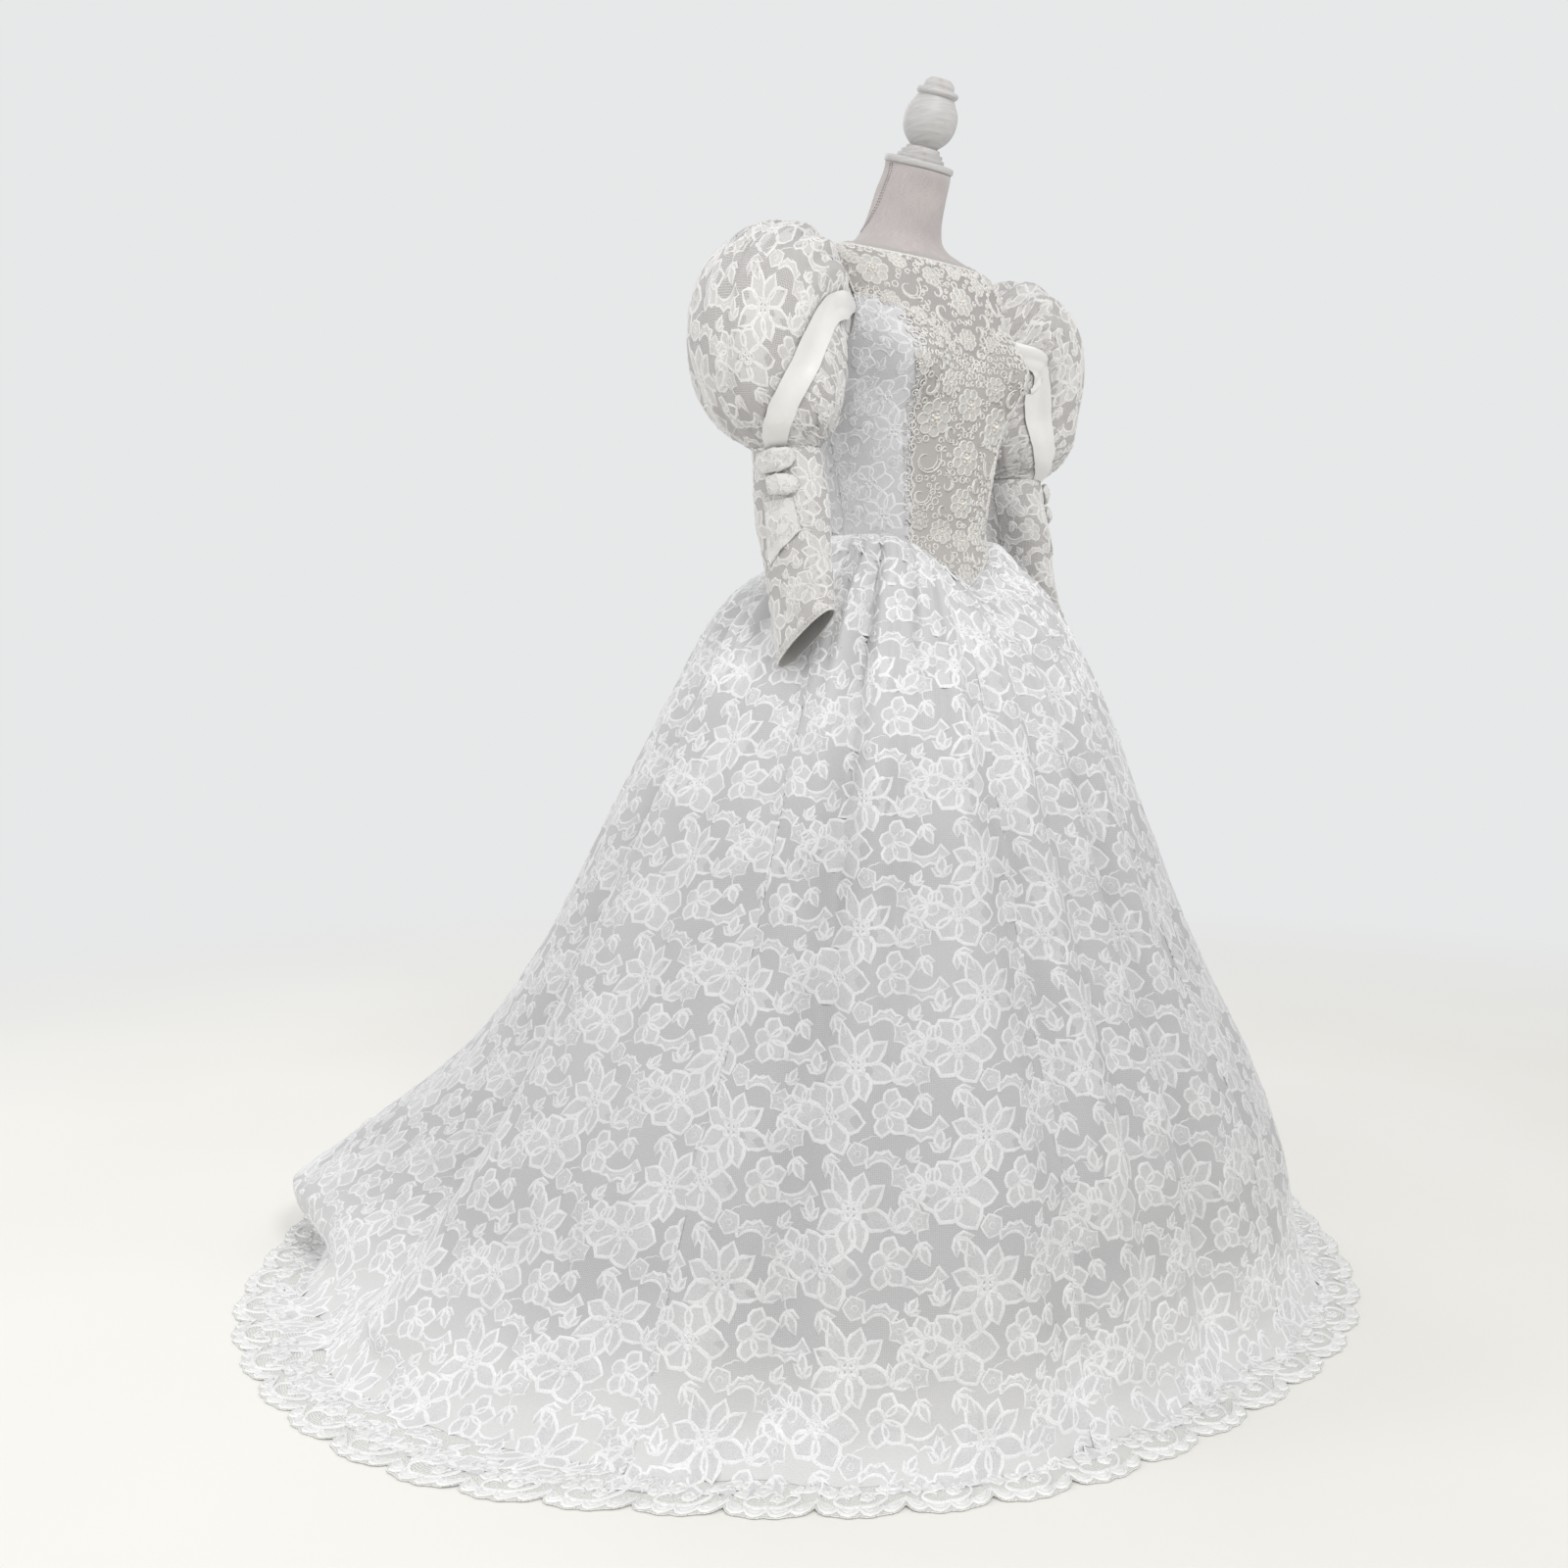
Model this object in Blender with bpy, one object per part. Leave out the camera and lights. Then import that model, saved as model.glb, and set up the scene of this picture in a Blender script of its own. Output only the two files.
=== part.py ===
"""Lace wedding dress with puff sleeves and a train, worn by a limbless dress form on a round stand.

Metres, +Z up. The origin is the centre of the stand's underside, on the floor. The dress faces -Y,
and the train runs towards +Y. Angles round the body are in degrees from the centre front, and
are positive towards the dress's left side, +X.
"""

import math

import bpy
import numpy as np

# Cloth and seams
WALL = 0.0016
SEAM = 0.0003
BODICE_EASE = 0.0036
LAYER_GAP = 0.0011

# Heights
WAIST_Z = 1.050
POINT_DROP = 0.073
POINT_HALF_ANGLE = 46.0
SWEETHEART_SIDE_Z = 1.370
SWEETHEART_FRONT_Z = 1.268
SWEETHEART_BACK_Z = 1.385
NECK_BASE_Z = 1.490
FORM_BOTTOM_Z = 0.800
NECK_TOP_Z = 1.575
NECK_LEAN = math.radians(21)

# The form's cross sections: height, half width, depth in front, depth behind, shift along Y
FORM_SECTIONS = [
    (0.800, 0.160, 0.108, 0.120, 0.000),
    (0.900, 0.166, 0.115, 0.124, 0.000),
    (0.970, 0.148, 0.112, 0.108, 0.000),
    (1.050, 0.119, 0.096, 0.090, 0.000),
    (1.090, 0.122, 0.098, 0.092, 0.000),
    (1.150, 0.136, 0.105, 0.096, 0.000),
    (1.210, 0.149, 0.112, 0.100, 0.000),
    (1.285, 0.157, 0.114, 0.104, 0.000),
    (1.345, 0.164, 0.106, 0.106, 0.000),
    (1.395, 0.170, 0.094, 0.102, 0.001),
    (1.415, 0.169, 0.086, 0.098, 0.002),
    (1.430, 0.163, 0.075, 0.092, 0.004),
    (1.443, 0.148, 0.065, 0.086, 0.007),
    (1.453, 0.124, 0.059, 0.080, 0.010),
    (1.463, 0.092, 0.055, 0.073, 0.013),
    (1.475, 0.071, 0.054, 0.065, 0.013),
    (1.490, 0.061, 0.054, 0.057, 0.009),
    (1.510, 0.055, 0.052, 0.052, 0.002),
    (1.540, 0.0505, 0.049, 0.050, -0.010),
    (1.575, 0.046, 0.046, 0.046, -0.0235),
]
BUST = {"angle": 38.0, "half_angle": 21.0, "z": 1.278, "below": 0.052, "above": 0.058, "depth": 0.040}

# The armhole's edge: height, angle from the centre front at which a front panel ends
ARMHOLE = [(1.050, 90), (1.260, 90), (1.290, 79), (1.315, 69), (1.345, 64), (1.370, 63.5), (1.395, 66),
           (1.415, 73), (1.430, 88), (1.440, 90), (1.500, 90)]
ARMPIT_LEVEL = 1.260
SHOULDER_TIP_LEVEL = 1.430
BODICE_LEVELS = [1.050, 1.095, 1.140, 1.185, 1.225, 1.260, 1.290, 1.315, 1.345, 1.370]
YOKE_LEVELS = [1.370, 1.395, 1.415, 1.430, 1.443, 1.453]
# The neckline: angle from the centre front, height, rise of the scalloped edging above it
NECKLINE = [(0, 1.432, 0.0085), (35, 1.436, 0.0070), (65, 1.446, 0.0050), (90, 1.455, 0.0040),
            (120, 1.461, 0.0050), (150, 1.466, 0.0070), (180, 1.468, 0.0085)]

APPLIQUE_FLOWERS = [
    # angle, height, radius
    (0, 0.998, 0.019), (15, 1.028, 0.016), (0, 1.058, 0.017), (22, 1.082, 0.016), (0, 1.122, 0.021),
    (18, 1.158, 0.018), (0, 1.200, 0.017), (26, 1.212, 0.020), (12, 1.248, 0.016), (34, 1.262, 0.018),
]
APPLIQUE_HALF_COLUMNS = 5.5
APPLIQUE_STEP = 0.5
APPLIQUE_LOW_ROW = 0.04
FRONT_COLUMNS = 29
BACK_COLUMNS = 10
SEAM_TURN = 0.13

# The skirt's rings. Radius at each key angle, from the waist seam down to the floor
KEY_ANGLES = [0, 35, 65, 90, 120, 150, 180]
SKIRT_RINGS = [
    # height, front, then 35, 65, 90, 120, 150 and 180 degrees
    (1.050, None),
    (1.026, 0.128, 0.142, 0.156, 0.162, 0.166, 0.172, 0.176),
    (0.985, 0.160, 0.178, 0.194, 0.200, 0.212, 0.226, 0.238),
    (0.920, 0.204, 0.222, 0.236, 0.248, 0.260, 0.278, 0.300),
    (0.820, 0.250, 0.270, 0.285, 0.298, 0.312, 0.330, 0.356),
    (0.660, 0.305, 0.327, 0.346, 0.366, 0.388, 0.416, 0.450),
    (0.480, 0.368, 0.396, 0.420, 0.450, 0.476, 0.508, 0.556),
    (0.320, 0.427, 0.470, 0.498, 0.530, 0.556, 0.590, 0.680),
    (0.190, 0.457, 0.514, 0.552, 0.600, 0.646, 0.720, 0.870),
    (0.090, 0.467, 0.531, 0.579, 0.652, 0.736, 0.855, 1.060),
    (0.032, 0.475, 0.541, 0.596, 0.686, 0.784, 0.905, 1.150),
    (0.0040, 0.494, 0.560, 0.622, 0.716, 0.826, 0.940, 1.190),
]
HEM_RADII = [0.560, 0.612, 0.690, 0.820, 0.915, 0.985, 1.300]

# Folds of the skirt: angle, depth at the top, depth at the floor, half width in degrees. Minus is a valley
MAIN_FOLDS = [
    (-160, -0.010, -0.045, 8), (-142, 0.010, 0.046, 13), (-119, -0.030, -0.060, 7), (-106, 0.014, 0.030, 8),
    (-82, -0.018, -0.020, 7), (-61, -0.020, -0.026, 5), (-48, -0.022, -0.006, 4), (-24, -0.008, -0.018, 6),
    (7, -0.018, -0.016, 5), (34, -0.008, -0.020, 6), (60, -0.020, -0.026, 5), (88, -0.030, -0.020, 9),
    (107, 0.014, 0.030, 8), (120, -0.030, -0.060, 7), (142, 0.010, 0.046, 13), (160, -0.010, -0.045, 8),
    (180, 0.006, 0.020, 10),
]
GATHERS = 44
GATHER_DEPTH = 0.0055
FLUTE_DEPTH = 0.0095

# The skirt is cut in gores, which meet on the ridges of the gathers: name, first and last half gather
GORES = [
    ("skirt_front", -6, 6), ("skirt_side_front_left", 6, 18), ("skirt_side_left", 18, 28),
    ("skirt_side_back_left", 28, 36), ("skirt_train_left", 36, 44), ("skirt_train_right", 44, 52),
    ("skirt_side_back_right", 52, 60), ("skirt_side_right", 60, 70), ("skirt_side_front_right", 70, 82),
]

# Hem lace: scallops round the whole hem, each with a few small lobes
SCALLOPS = 56
SCALLOP_DEPTH = 0.016
SCALLOP_COLUMNS = 4
HEM_THICKNESS = 0.0022
HEM_SEGMENTS = [
    ("hem_lace_front", -8, 8), ("hem_lace_left", 8, 20), ("hem_lace_train_left", 20, 28),
    ("hem_lace_train_right", 28, 36), ("hem_lace_right", 36, 48),
]

# Puff sleeve rings: centre x (outwards), y, z, turn from sideways to downwards in degrees,
# half depth along Y, half height across
PUFF_RINGS = [
    (0.212, -0.003, 1.358, 14, 0.096, 0.097),
    (0.246, -0.006, 1.347, 34, 0.108, 0.103),
    (0.268, -0.010, 1.322, 54, 0.113, 0.103),
    (0.280, -0.015, 1.283, 71, 0.112, 0.098),
    (0.282, -0.020, 1.243, 80, 0.106, 0.092),
    (0.279, -0.026, 1.207, 86, 0.094, 0.082),
    (0.271, -0.031, 1.176, 90, 0.074, 0.064),
    (0.262, -0.035, 1.152, 90, 0.048, 0.040),
]
# The left arm hangs closer in and further back: shift of each ring along x and y
PUFF_SHIFT = {"right": (0.0, 0.0), "left": (-0.030, 0.036)}
PUFF_COLUMNS = 28
PUFF_GATHERS = 14
PIT_COLUMN = 14

# Lower sleeve rings: height, centre x, centre y, half thickness, half depth
SLEEVE_RINGS = {
    "right": [
        (1.1514, 0.2620, -0.035, 0.040, 0.048),
        (1.1200, 0.2620, -0.040, 0.040, 0.049),
        (1.0600, 0.2620, -0.048, 0.038, 0.051),
        (1.0000, 0.2640, -0.060, 0.031, 0.051),
        (0.9500, 0.2670, -0.072, 0.024, 0.050),
        (0.9050, 0.2720, -0.084, 0.017, 0.048),
    ],
    "left": [
        (1.1514, 0.2320, 0.001, 0.040, 0.048),
        (1.1200, 0.2350, 0.000, 0.040, 0.049),
        (1.0600, 0.2430, -0.003, 0.037, 0.051),
        (1.0000, 0.2540, -0.006, 0.030, 0.051),
        (0.9500, 0.2660, -0.009, 0.023, 0.050),
        (0.9100, 0.2800, -0.012, 0.017, 0.048),
    ],
}
SLEEVE_COLUMNS = 16
# The satin band's middle line on each puff and its half width, in the puff's columns
BAND_PATH = {
    "right": [7.2, 7.3, 8.0, 7.9, 7.5, 6.8, 5.9, 4.7, 3.3, 1.9],
    "left": [8.2, 8.3, 9.0, 9.7, 9.8, 9.7, 9.3, 8.9, 8.0, 6.0],
}
BAND_HALF = [0.8, 0.8, 0.85, 0.95, 1.0, 1.05, 1.05, 1.05, 1.2, 1.5]
# The band stands off the puff row by row, and is sewn down at its two ends
BAND_LIFT = [0.0, 0.0034, 0.0052, 0.0056, 0.0056, 0.0056, 0.0056, 0.0056, 0.0052, 0.0017]
BAND_GROOVE = [0.0, 0.0, 0.008, 0.014, 0.018, 0.017, 0.013, 0.008, 0.004, 0.0]
PUFF_WAVES = [0.06, 0.04, 0.022, 0.016, 0.020, 0.034, 0.050, 0.0]
CUFF_SLOPE = 0.036
# The bow's loops: name, height, tilt, first and last sleeve column, half height, half thickness
BOW_LOOPS = [
    ("bow_loop_upper", 1.1290, 0.006, -0.4, 2.5, 0.0140, 0.0070),
    ("bow_loop_lower", 1.0980, -0.004, 0.2, 2.6, 0.0140, 0.0060),
]
BOW_TAIL = {"top_z": 1.0800, "low_left_z": 1.002, "low_right_z": 1.036, "top": (-0.3, 2.0), "low": (-1.0, 2.3)}

# Stand and turned finial: distance along the axis, radius
POLE_RADIUS = 0.016
BASE_RADIUS = 0.165
CAP_RADIUS = 0.050
CAP_THICKNESS = 0.010
FINIAL = [
    (0.0000, 0.034), (0.0060, 0.034), (0.0066, 0.030), (0.0120, 0.030), (0.0126, 0.0260), (0.0185, 0.0240),
    (0.0200, 0.0200), (0.0290, 0.0290), (0.0400, 0.0355), (0.0540, 0.0380), (0.0700, 0.0360), (0.0870, 0.0265),
    (0.0900, 0.0285), (0.0935, 0.0300), (0.0975, 0.0280), (0.0985, 0.0225), (0.1060, 0.0210), (0.1125, 0.0145),
]

COLOURS = {
    "form_linen": ((0.62, 0.58, 0.56), 0.90),
    "white_wood": ((0.80, 0.79, 0.77), 0.50),
    "skirt_lace": ((0.80, 0.80, 0.81), 0.80),
    "border_lace": ((0.88, 0.88, 0.86), 0.75),
    "bodice_lace": ((0.74, 0.74, 0.76), 0.75),
    "yoke_lace": ((0.72, 0.69, 0.66), 0.80),
    "beaded_lace": ((0.80, 0.77, 0.72), 0.55),
    "sleeve_lace": ((0.78, 0.76, 0.73), 0.80),
    "satin": ((0.86, 0.85, 0.82), 0.35),
}


def smooth_lookup(x, xs, ys):
    """A smooth curve through the points, flat at both ends."""
    x = min(max(x, xs[0]), xs[-1])
    k = 0
    while k < len(xs) - 2 and x > xs[k + 1]:
        k += 1
    slopes = [0.0] * len(xs)
    for i in range(1, len(xs) - 1):
        slopes[i] = (ys[i + 1] - ys[i - 1]) / (xs[i + 1] - xs[i - 1])
    span = xs[k + 1] - xs[k]
    t = (x - xs[k]) / span
    return (
        (2 * t**3 - 3 * t**2 + 1) * ys[k]
        + (t**3 - 2 * t**2 + t) * span * slopes[k]
        + (3 * t**2 - 2 * t**3) * ys[k + 1]
        + (t**3 - t**2) * span * slopes[k + 1]
    )


def straight_lookup(x, xs, ys):
    return float(np.interp(x, xs, ys))


def bell(distance, half_width):
    """1 at the middle and nearly 0 past the half width."""
    return math.exp(-((distance / half_width) ** 2) * 2.0)


def turn_between(a, b):
    """The signed angle from b to a, between -180 and 180 degrees."""
    return (a - b + 180.0) % 360.0 - 180.0


def form_point(angle, z, out=0.0):
    """A point of the dress form's surface, moved out level by a distance."""
    heights = [s[0] for s in FORM_SECTIONS]
    width, front, back, shift = [
        smooth_lookup(z, heights, [s[i] for s in FORM_SECTIONS]) for i in range(1, 5)
    ]
    rad = math.radians(angle)
    depth = front if math.cos(rad) > 0 else back
    x = width * math.sin(rad)
    y = shift - depth * math.cos(rad)
    rise = z - BUST["z"]
    spread = BUST["above"] if rise > 0 else BUST["below"]
    for side in (-1, 1):
        swell = bell(turn_between(angle, side * BUST["angle"]), BUST["half_angle"] * 1.25)
        swell *= math.exp(-((rise / spread) ** 2))
        y -= BUST["depth"] * swell
        x += 0.12 * side * BUST["depth"] * swell
    across, along = math.sin(rad) / width, -math.cos(rad) / depth
    length = math.hypot(across, along)
    x += out * across / length
    y += out * along / length
    lean = NECK_LEAN * min(max((z - NECK_BASE_Z) / (NECK_TOP_Z - NECK_BASE_Z), 0.0), 1.0)
    return np.array([x, y, z + (y - shift) * math.tan(lean)])


def armhole_angle(z):
    return straight_lookup(z, [a[0] for a in ARMHOLE], [a[1] for a in ARMHOLE])


def waist_z(angle):
    """The waist seam, which dips to a point at the centre front and runs in level at the sides."""
    off = abs(turn_between(angle, 0))
    bend = 10.0
    if off > POINT_HALF_ANGLE + bend:
        return WAIST_Z
    slope = POINT_DROP / POINT_HALF_ANGLE
    if off < POINT_HALF_ANGLE - bend:
        return WAIST_Z - slope * (POINT_HALF_ANGLE - off)
    return WAIST_Z - slope * (POINT_HALF_ANGLE + bend - off) ** 2 / (4 * bend)


def sweetheart_z(angle):
    """The seam between the lined bodice and the sheer yoke."""
    off = abs(turn_between(angle, 0))
    if off > 90:
        return SWEETHEART_SIDE_Z + (SWEETHEART_BACK_Z - SWEETHEART_SIDE_Z) * (off - 116.5) / 63.5
    share = min(off / 63.5, 1.0)
    return SWEETHEART_FRONT_Z + (SWEETHEART_SIDE_Z - SWEETHEART_FRONT_Z) * math.sin(share * math.pi / 2) ** 0.9


def grid_normals(points, closed):
    """A unit normal at each point of a grid of rows, on the side that the rows and columns turn to."""
    rows, columns, _ = points.shape
    normals = np.zeros_like(points)
    for j in range(rows - 1):
        for i in range(columns if closed else columns - 1):
            k = (i + 1) % columns
            a, b, c, d = points[j, i], points[j, k], points[j + 1, k], points[j + 1, i]
            n = np.cross(c - a, d - b)
            length = np.linalg.norm(n)
            if length > 1e-12:
                n = n / length
            for row, column in ((j, i), (j, k), (j + 1, k), (j + 1, i)):
                normals[row, column] += n
    lengths = np.linalg.norm(normals, axis=2, keepdims=True)
    return normals / np.maximum(lengths, 1e-12)


def grid_faces(rows, columns, closed):
    """Vertices and triangles of the two skins and the rims of a wall of rows by columns points."""
    count = rows * columns
    faces = []

    def at(skin, j, i):
        return skin * count + j * columns + i % columns

    spans = columns if closed else columns - 1
    for j in range(rows - 1):
        for i in range(spans):
            for skin, flip in ((0, False), (1, True)):
                a, b = at(skin, j, i), at(skin, j, i + 1)
                c, d = at(skin, j + 1, i + 1), at(skin, j + 1, i)
                for face in ((a, b, c), (a, c, d)):
                    faces.append(face[::-1] if flip else face)
    for i in range(spans):
        for j, flip in ((0, True), (rows - 1, False)):
            a, b, c, d = at(0, j, i), at(0, j, i + 1), at(1, j, i + 1), at(1, j, i)
            for face in ((a, b, c), (a, c, d)):
                faces.append(face[::-1] if flip else face)
    if not closed:
        for j in range(rows - 1):
            for i, flip in ((0, False), (columns - 1, True)):
                a, b, c, d = at(0, j, i), at(0, j + 1, i), at(1, j + 1, i), at(1, j, i)
                for face in ((a, b, c), (a, c, d)):
                    faces.append(face[::-1] if flip else face)
    return faces


def material(name):
    found = bpy.data.materials.get(name)
    if found:
        return found
    colour, roughness = COLOURS[name]
    made = bpy.data.materials.new(name)
    made.use_nodes = True
    shader = made.node_tree.nodes["Principled BSDF"]
    shader.inputs["Base Color"].default_value = (*colour, 1.0)
    shader.inputs["Roughness"].default_value = roughness
    shader.inputs["Metallic"].default_value = 0.0
    made.diffuse_color = (*colour, 1.0)
    return made


def add_object(name, vertices, faces, finish):
    mesh = bpy.data.meshes.new(name)
    mesh.from_pydata([tuple(map(float, v)) for v in vertices], [], faces)
    mesh.validate()
    mesh.materials.append(material(finish))
    made = bpy.data.objects.new(name, mesh)
    bpy.context.scene.collection.objects.link(made)
    volume = sum(
        float(np.dot(vertices[f[0]], np.cross(vertices[f[1]], vertices[f[2]]))) for f in faces
    )
    if volume < 0:
        mesh.flip_normals()
    mesh.shade_smooth()
    mesh.set_sharp_from_angle(angle=math.radians(40))
    return made


def add_wall(name, outer, inner, closed, finish):
    rows, columns, _ = outer.shape
    vertices = np.concatenate([outer.reshape(-1, 3), inner.reshape(-1, 3)])
    return add_object(name, vertices, grid_faces(rows, columns, closed), finish)


def add_turned(name, profile, place, finish, sides=24, lean=0.0):
    """A turned solid on an axis that leans forwards: profile rows are distance along it and radius."""
    axis = np.array([0.0, -math.sin(lean), math.cos(lean)])
    across = np.array([1.0, 0.0, 0.0])
    forward = np.cross(axis, across)
    vertices, faces = [], []
    for distance, radius in profile:
        for i in range(sides):
            turn = 2 * math.pi * i / sides
            vertices.append(place + axis * distance + radius * (math.cos(turn) * across + math.sin(turn) * forward))
    for j in range(len(profile) - 1):
        for i in range(sides):
            k = (i + 1) % sides
            a, b, c, d = j * sides + i, j * sides + k, (j + 1) * sides + k, (j + 1) * sides + i
            faces += [(a, b, c), (a, c, d)]
    for j, flip in ((0, True), (len(profile) - 1, False)):
        centre = len(vertices)
        vertices.append(place + axis * profile[j][0])
        for i in range(sides):
            face = (j * sides + i, j * sides + (i + 1) % sides, centre)
            faces.append(face[::-1] if flip else face)
    return add_object(name, np.array(vertices), faces, finish)


# Dress form and stand


def make_form():
    columns = 24
    vertices, faces = [], []
    for section in FORM_SECTIONS:
        for i in range(columns):
            vertices.append(form_point(i * 360.0 / columns, section[0]))
    rows = len(FORM_SECTIONS)
    for j in range(rows - 1):
        for i in range(columns):
            k = (i + 1) % columns
            a, b, c, d = j * columns + i, j * columns + k, (j + 1) * columns + k, (j + 1) * columns + i
            faces += [(a, b, c), (a, c, d)]
    for j, flip in ((0, True), (rows - 1, False)):
        centre = len(vertices)
        vertices.append(np.mean(vertices[j * columns : (j + 1) * columns], axis=0))
        for i in range(columns):
            face = (j * columns + i, j * columns + (i + 1) % columns, centre)
            faces.append(face[::-1] if flip else face)
    add_object("form_torso", np.array(vertices), faces, "form_linen")


def make_neck_cap_and_finial():
    top = FORM_SECTIONS[-1]
    place = np.array([0.0, top[4], top[0]])
    axis = np.array([0.0, -math.sin(NECK_LEAN), math.cos(NECK_LEAN)])
    low = place + axis * SEAM
    cap = [(0.0, CAP_RADIUS - 0.002), (0.0015, CAP_RADIUS), (CAP_THICKNESS - 0.0015, CAP_RADIUS)]
    cap.append((CAP_THICKNESS, CAP_RADIUS - 0.002))
    add_turned("neck_cap", cap, low, "white_wood", 24, NECK_LEAN)
    add_turned("finial", FINIAL, low + axis * (CAP_THICKNESS + SEAM), "white_wood", 16, NECK_LEAN)


def make_stand():
    floor = np.zeros(3)
    base = [(0.0, BASE_RADIUS), (0.010, BASE_RADIUS), (0.016, BASE_RADIUS - 0.008), (0.020, 0.060), (0.028, 0.034)]
    base += [(0.060, 0.026)]
    add_turned("stand_base", base, floor, "white_wood", 20)
    pole = [(0.060 + SEAM, POLE_RADIUS), (FORM_BOTTOM_Z - SEAM, POLE_RADIUS)]
    add_turned("stand_pole", pole, floor, "white_wood", 12)


# Bodice


def bodice_surface(angle, z, out=0.0):
    return form_point(angle, z, BODICE_EASE + WALL + out)


def bodice_grid(angles_at, levels, low, high, gap_low=0.0, gap_high=0.0):
    """Outer and inner points of a panel. Each row runs between the angles at its level."""
    span = levels[-1] - levels[0]
    outer, inner = [], []
    for level in levels:
        share = (level - levels[0]) / span
        outer_row, inner_row = [], []
        for angle in angles_at(level):
            z = (low(angle) + gap_low) * (1 - share) + (high(angle) - gap_high) * share
            outer_row.append(bodice_surface(angle, z))
            inner_row.append(bodice_surface(angle, z, -WALL))
        outer.append(outer_row)
        inner.append(inner_row)
    return np.array(outer), np.array(inner)


def between(first, last, count):
    return [first + (last - first) * i / (count - 1) for i in range(count)]


def neckline_z(angle):
    return smooth_lookup(abs(turn_between(angle, 0)), [n[0] for n in NECKLINE], [n[1] for n in NECKLINE])


def front_angles(level):
    side = armhole_angle(level) - SEAM_TURN
    return between(-side, side, FRONT_COLUMNS)


def back_angles(side):
    def angles_at(level):
        first = 180 - armhole_angle(level) + SEAM_TURN
        return [side * a for a in between(first, 180 - SEAM_TURN, BACK_COLUMNS)]

    return angles_at


def bodice_panel(angles_at):
    return bodice_grid(angles_at, BODICE_LEVELS, waist_z, sweetheart_z)


def yoke_panel(angles_at):
    return bodice_grid(angles_at, YOKE_LEVELS, sweetheart_z, neckline_z, 0.0004)


def make_bodice():
    panels = [("front", front_angles), ("back_left", back_angles(1)), ("back_right", back_angles(-1))]
    for word, angles_at in panels:
        add_wall(f"bodice_{word}", *bodice_panel(angles_at), False, "bodice_lace")
        add_wall(f"yoke_{word}", *yoke_panel(angles_at), False, "yoke_lace")


def on_grid(points, row, column):
    """A point on the triangles of a grid, between its rows and columns."""
    j = min(int(row), points.shape[0] - 2)
    i = min(int(column), points.shape[1] - 2)
    s, t = row - j, column - i
    a, b, c, d = points[j, i], points[j, i + 1], points[j + 1, i + 1], points[j + 1, i]
    if t >= s:
        return a + t * (b - a) + s * (c - b)
    return a + s * (d - a) + t * (c - d)


def applique_relief(angle, z):
    """How far the thick lace flowers and scrolls stand up from the panel's ground."""
    height = 0.0
    for flower_angle, flower_z, radius in APPLIQUE_FLOWERS:
        for side in (-1, 1):
            across = math.radians(turn_between(angle, side * flower_angle)) * 0.125
            along = z - flower_z
            distance = math.hypot(across, along) / radius
            if distance < 1.0:
                petals = 0.75 + 0.25 * math.cos(6 * math.atan2(along, across))
                height = max(height, 0.0026 * petals * (1 - distance**3))
            if flower_angle == 0:
                break
    return height


def make_applique():
    """The beaded lace panel at the centre front: flowers stand up from a plain ground."""
    panel, _ = bodice_grid(front_angles, BODICE_LEVELS, waist_z, sweetheart_z)
    normals = grid_normals(panel, False)
    if normals[3, FRONT_COLUMNS // 2][1] > 0:
        normals = -normals
    centre = (FRONT_COLUMNS - 1) / 2
    steps = round(APPLIQUE_HALF_COLUMNS / APPLIQUE_STEP)
    outer, inner = [], []
    for j in range(2 * (len(BODICE_LEVELS) - 1) + 1):
        row = min(max(j / 2, APPLIQUE_LOW_ROW), len(BODICE_LEVELS) - 1.15)
        curve = 0.3 * math.cos(j * math.pi / 2)
        outer_row, inner_row = [], []
        for i in range(-steps, steps + 1):
            across = i / steps
            column = centre + i * APPLIQUE_STEP
            if abs(i) == steps:
                column += math.copysign(0.18 + curve, i)
            point = on_grid(panel, row, column)
            normal = on_grid(normals, row, column)
            angle = math.degrees(math.atan2(point[0], -point[1]))
            edge = min(1.0, 4 * (1 - abs(across)), j / 2, len(BODICE_LEVELS) - 1 - j / 2)
            relief = applique_relief(angle, point[2]) * edge
            inner_row.append(point + normal * LAYER_GAP)
            outer_row.append(point + normal * (LAYER_GAP + 0.0010 + relief))
        outer.append(outer_row)
        inner.append(inner_row)
    add_wall("applique_front", np.array(outer), np.array(inner), False, "beaded_lace")


def make_neck_edging():
    """The narrow scalloped lace edge that lies on the form round the neckline."""
    columns = 48
    outer, inner = [], []
    for share in (0.0, 0.5, 1.0):
        outer_row, inner_row = [], []
        for i in range(columns):
            angle = i * 360.0 / columns
            off = abs(turn_between(angle, 0))
            rise = smooth_lookup(off, [n[0] for n in NECKLINE], [n[2] for n in NECKLINE])
            rise *= 1.0 - 0.3 * (i % 2)
            low = neckline_z(angle) + 0.0004
            inner_row.append(form_point(angle, low + rise * share, 0.0012))
            outer_row.append(form_point(angle, low + rise * share, 0.0012 + WALL))
        outer.append(outer_row)
        inner.append(inner_row)
    add_wall("neck_edging", np.array(outer), np.array(inner), True, "beaded_lace")


def make_back_placket():
    """A lapped strip down the centre back that covers the fastening."""
    half = 6.0
    levels = [1.054, 1.110, 1.170, 1.230, 1.290, 1.345, 1.380]
    outer, inner = [], []
    for level in levels:
        angles = between(180 - half, 180 + half, 5)
        outer.append([bodice_surface(a, level, LAYER_GAP + 0.0014) for a in angles])
        inner.append([bodice_surface(a, level, LAYER_GAP) for a in angles])
    add_wall("back_placket", np.array(outer), np.array(inner), False, "satin")


# Skirt


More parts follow.
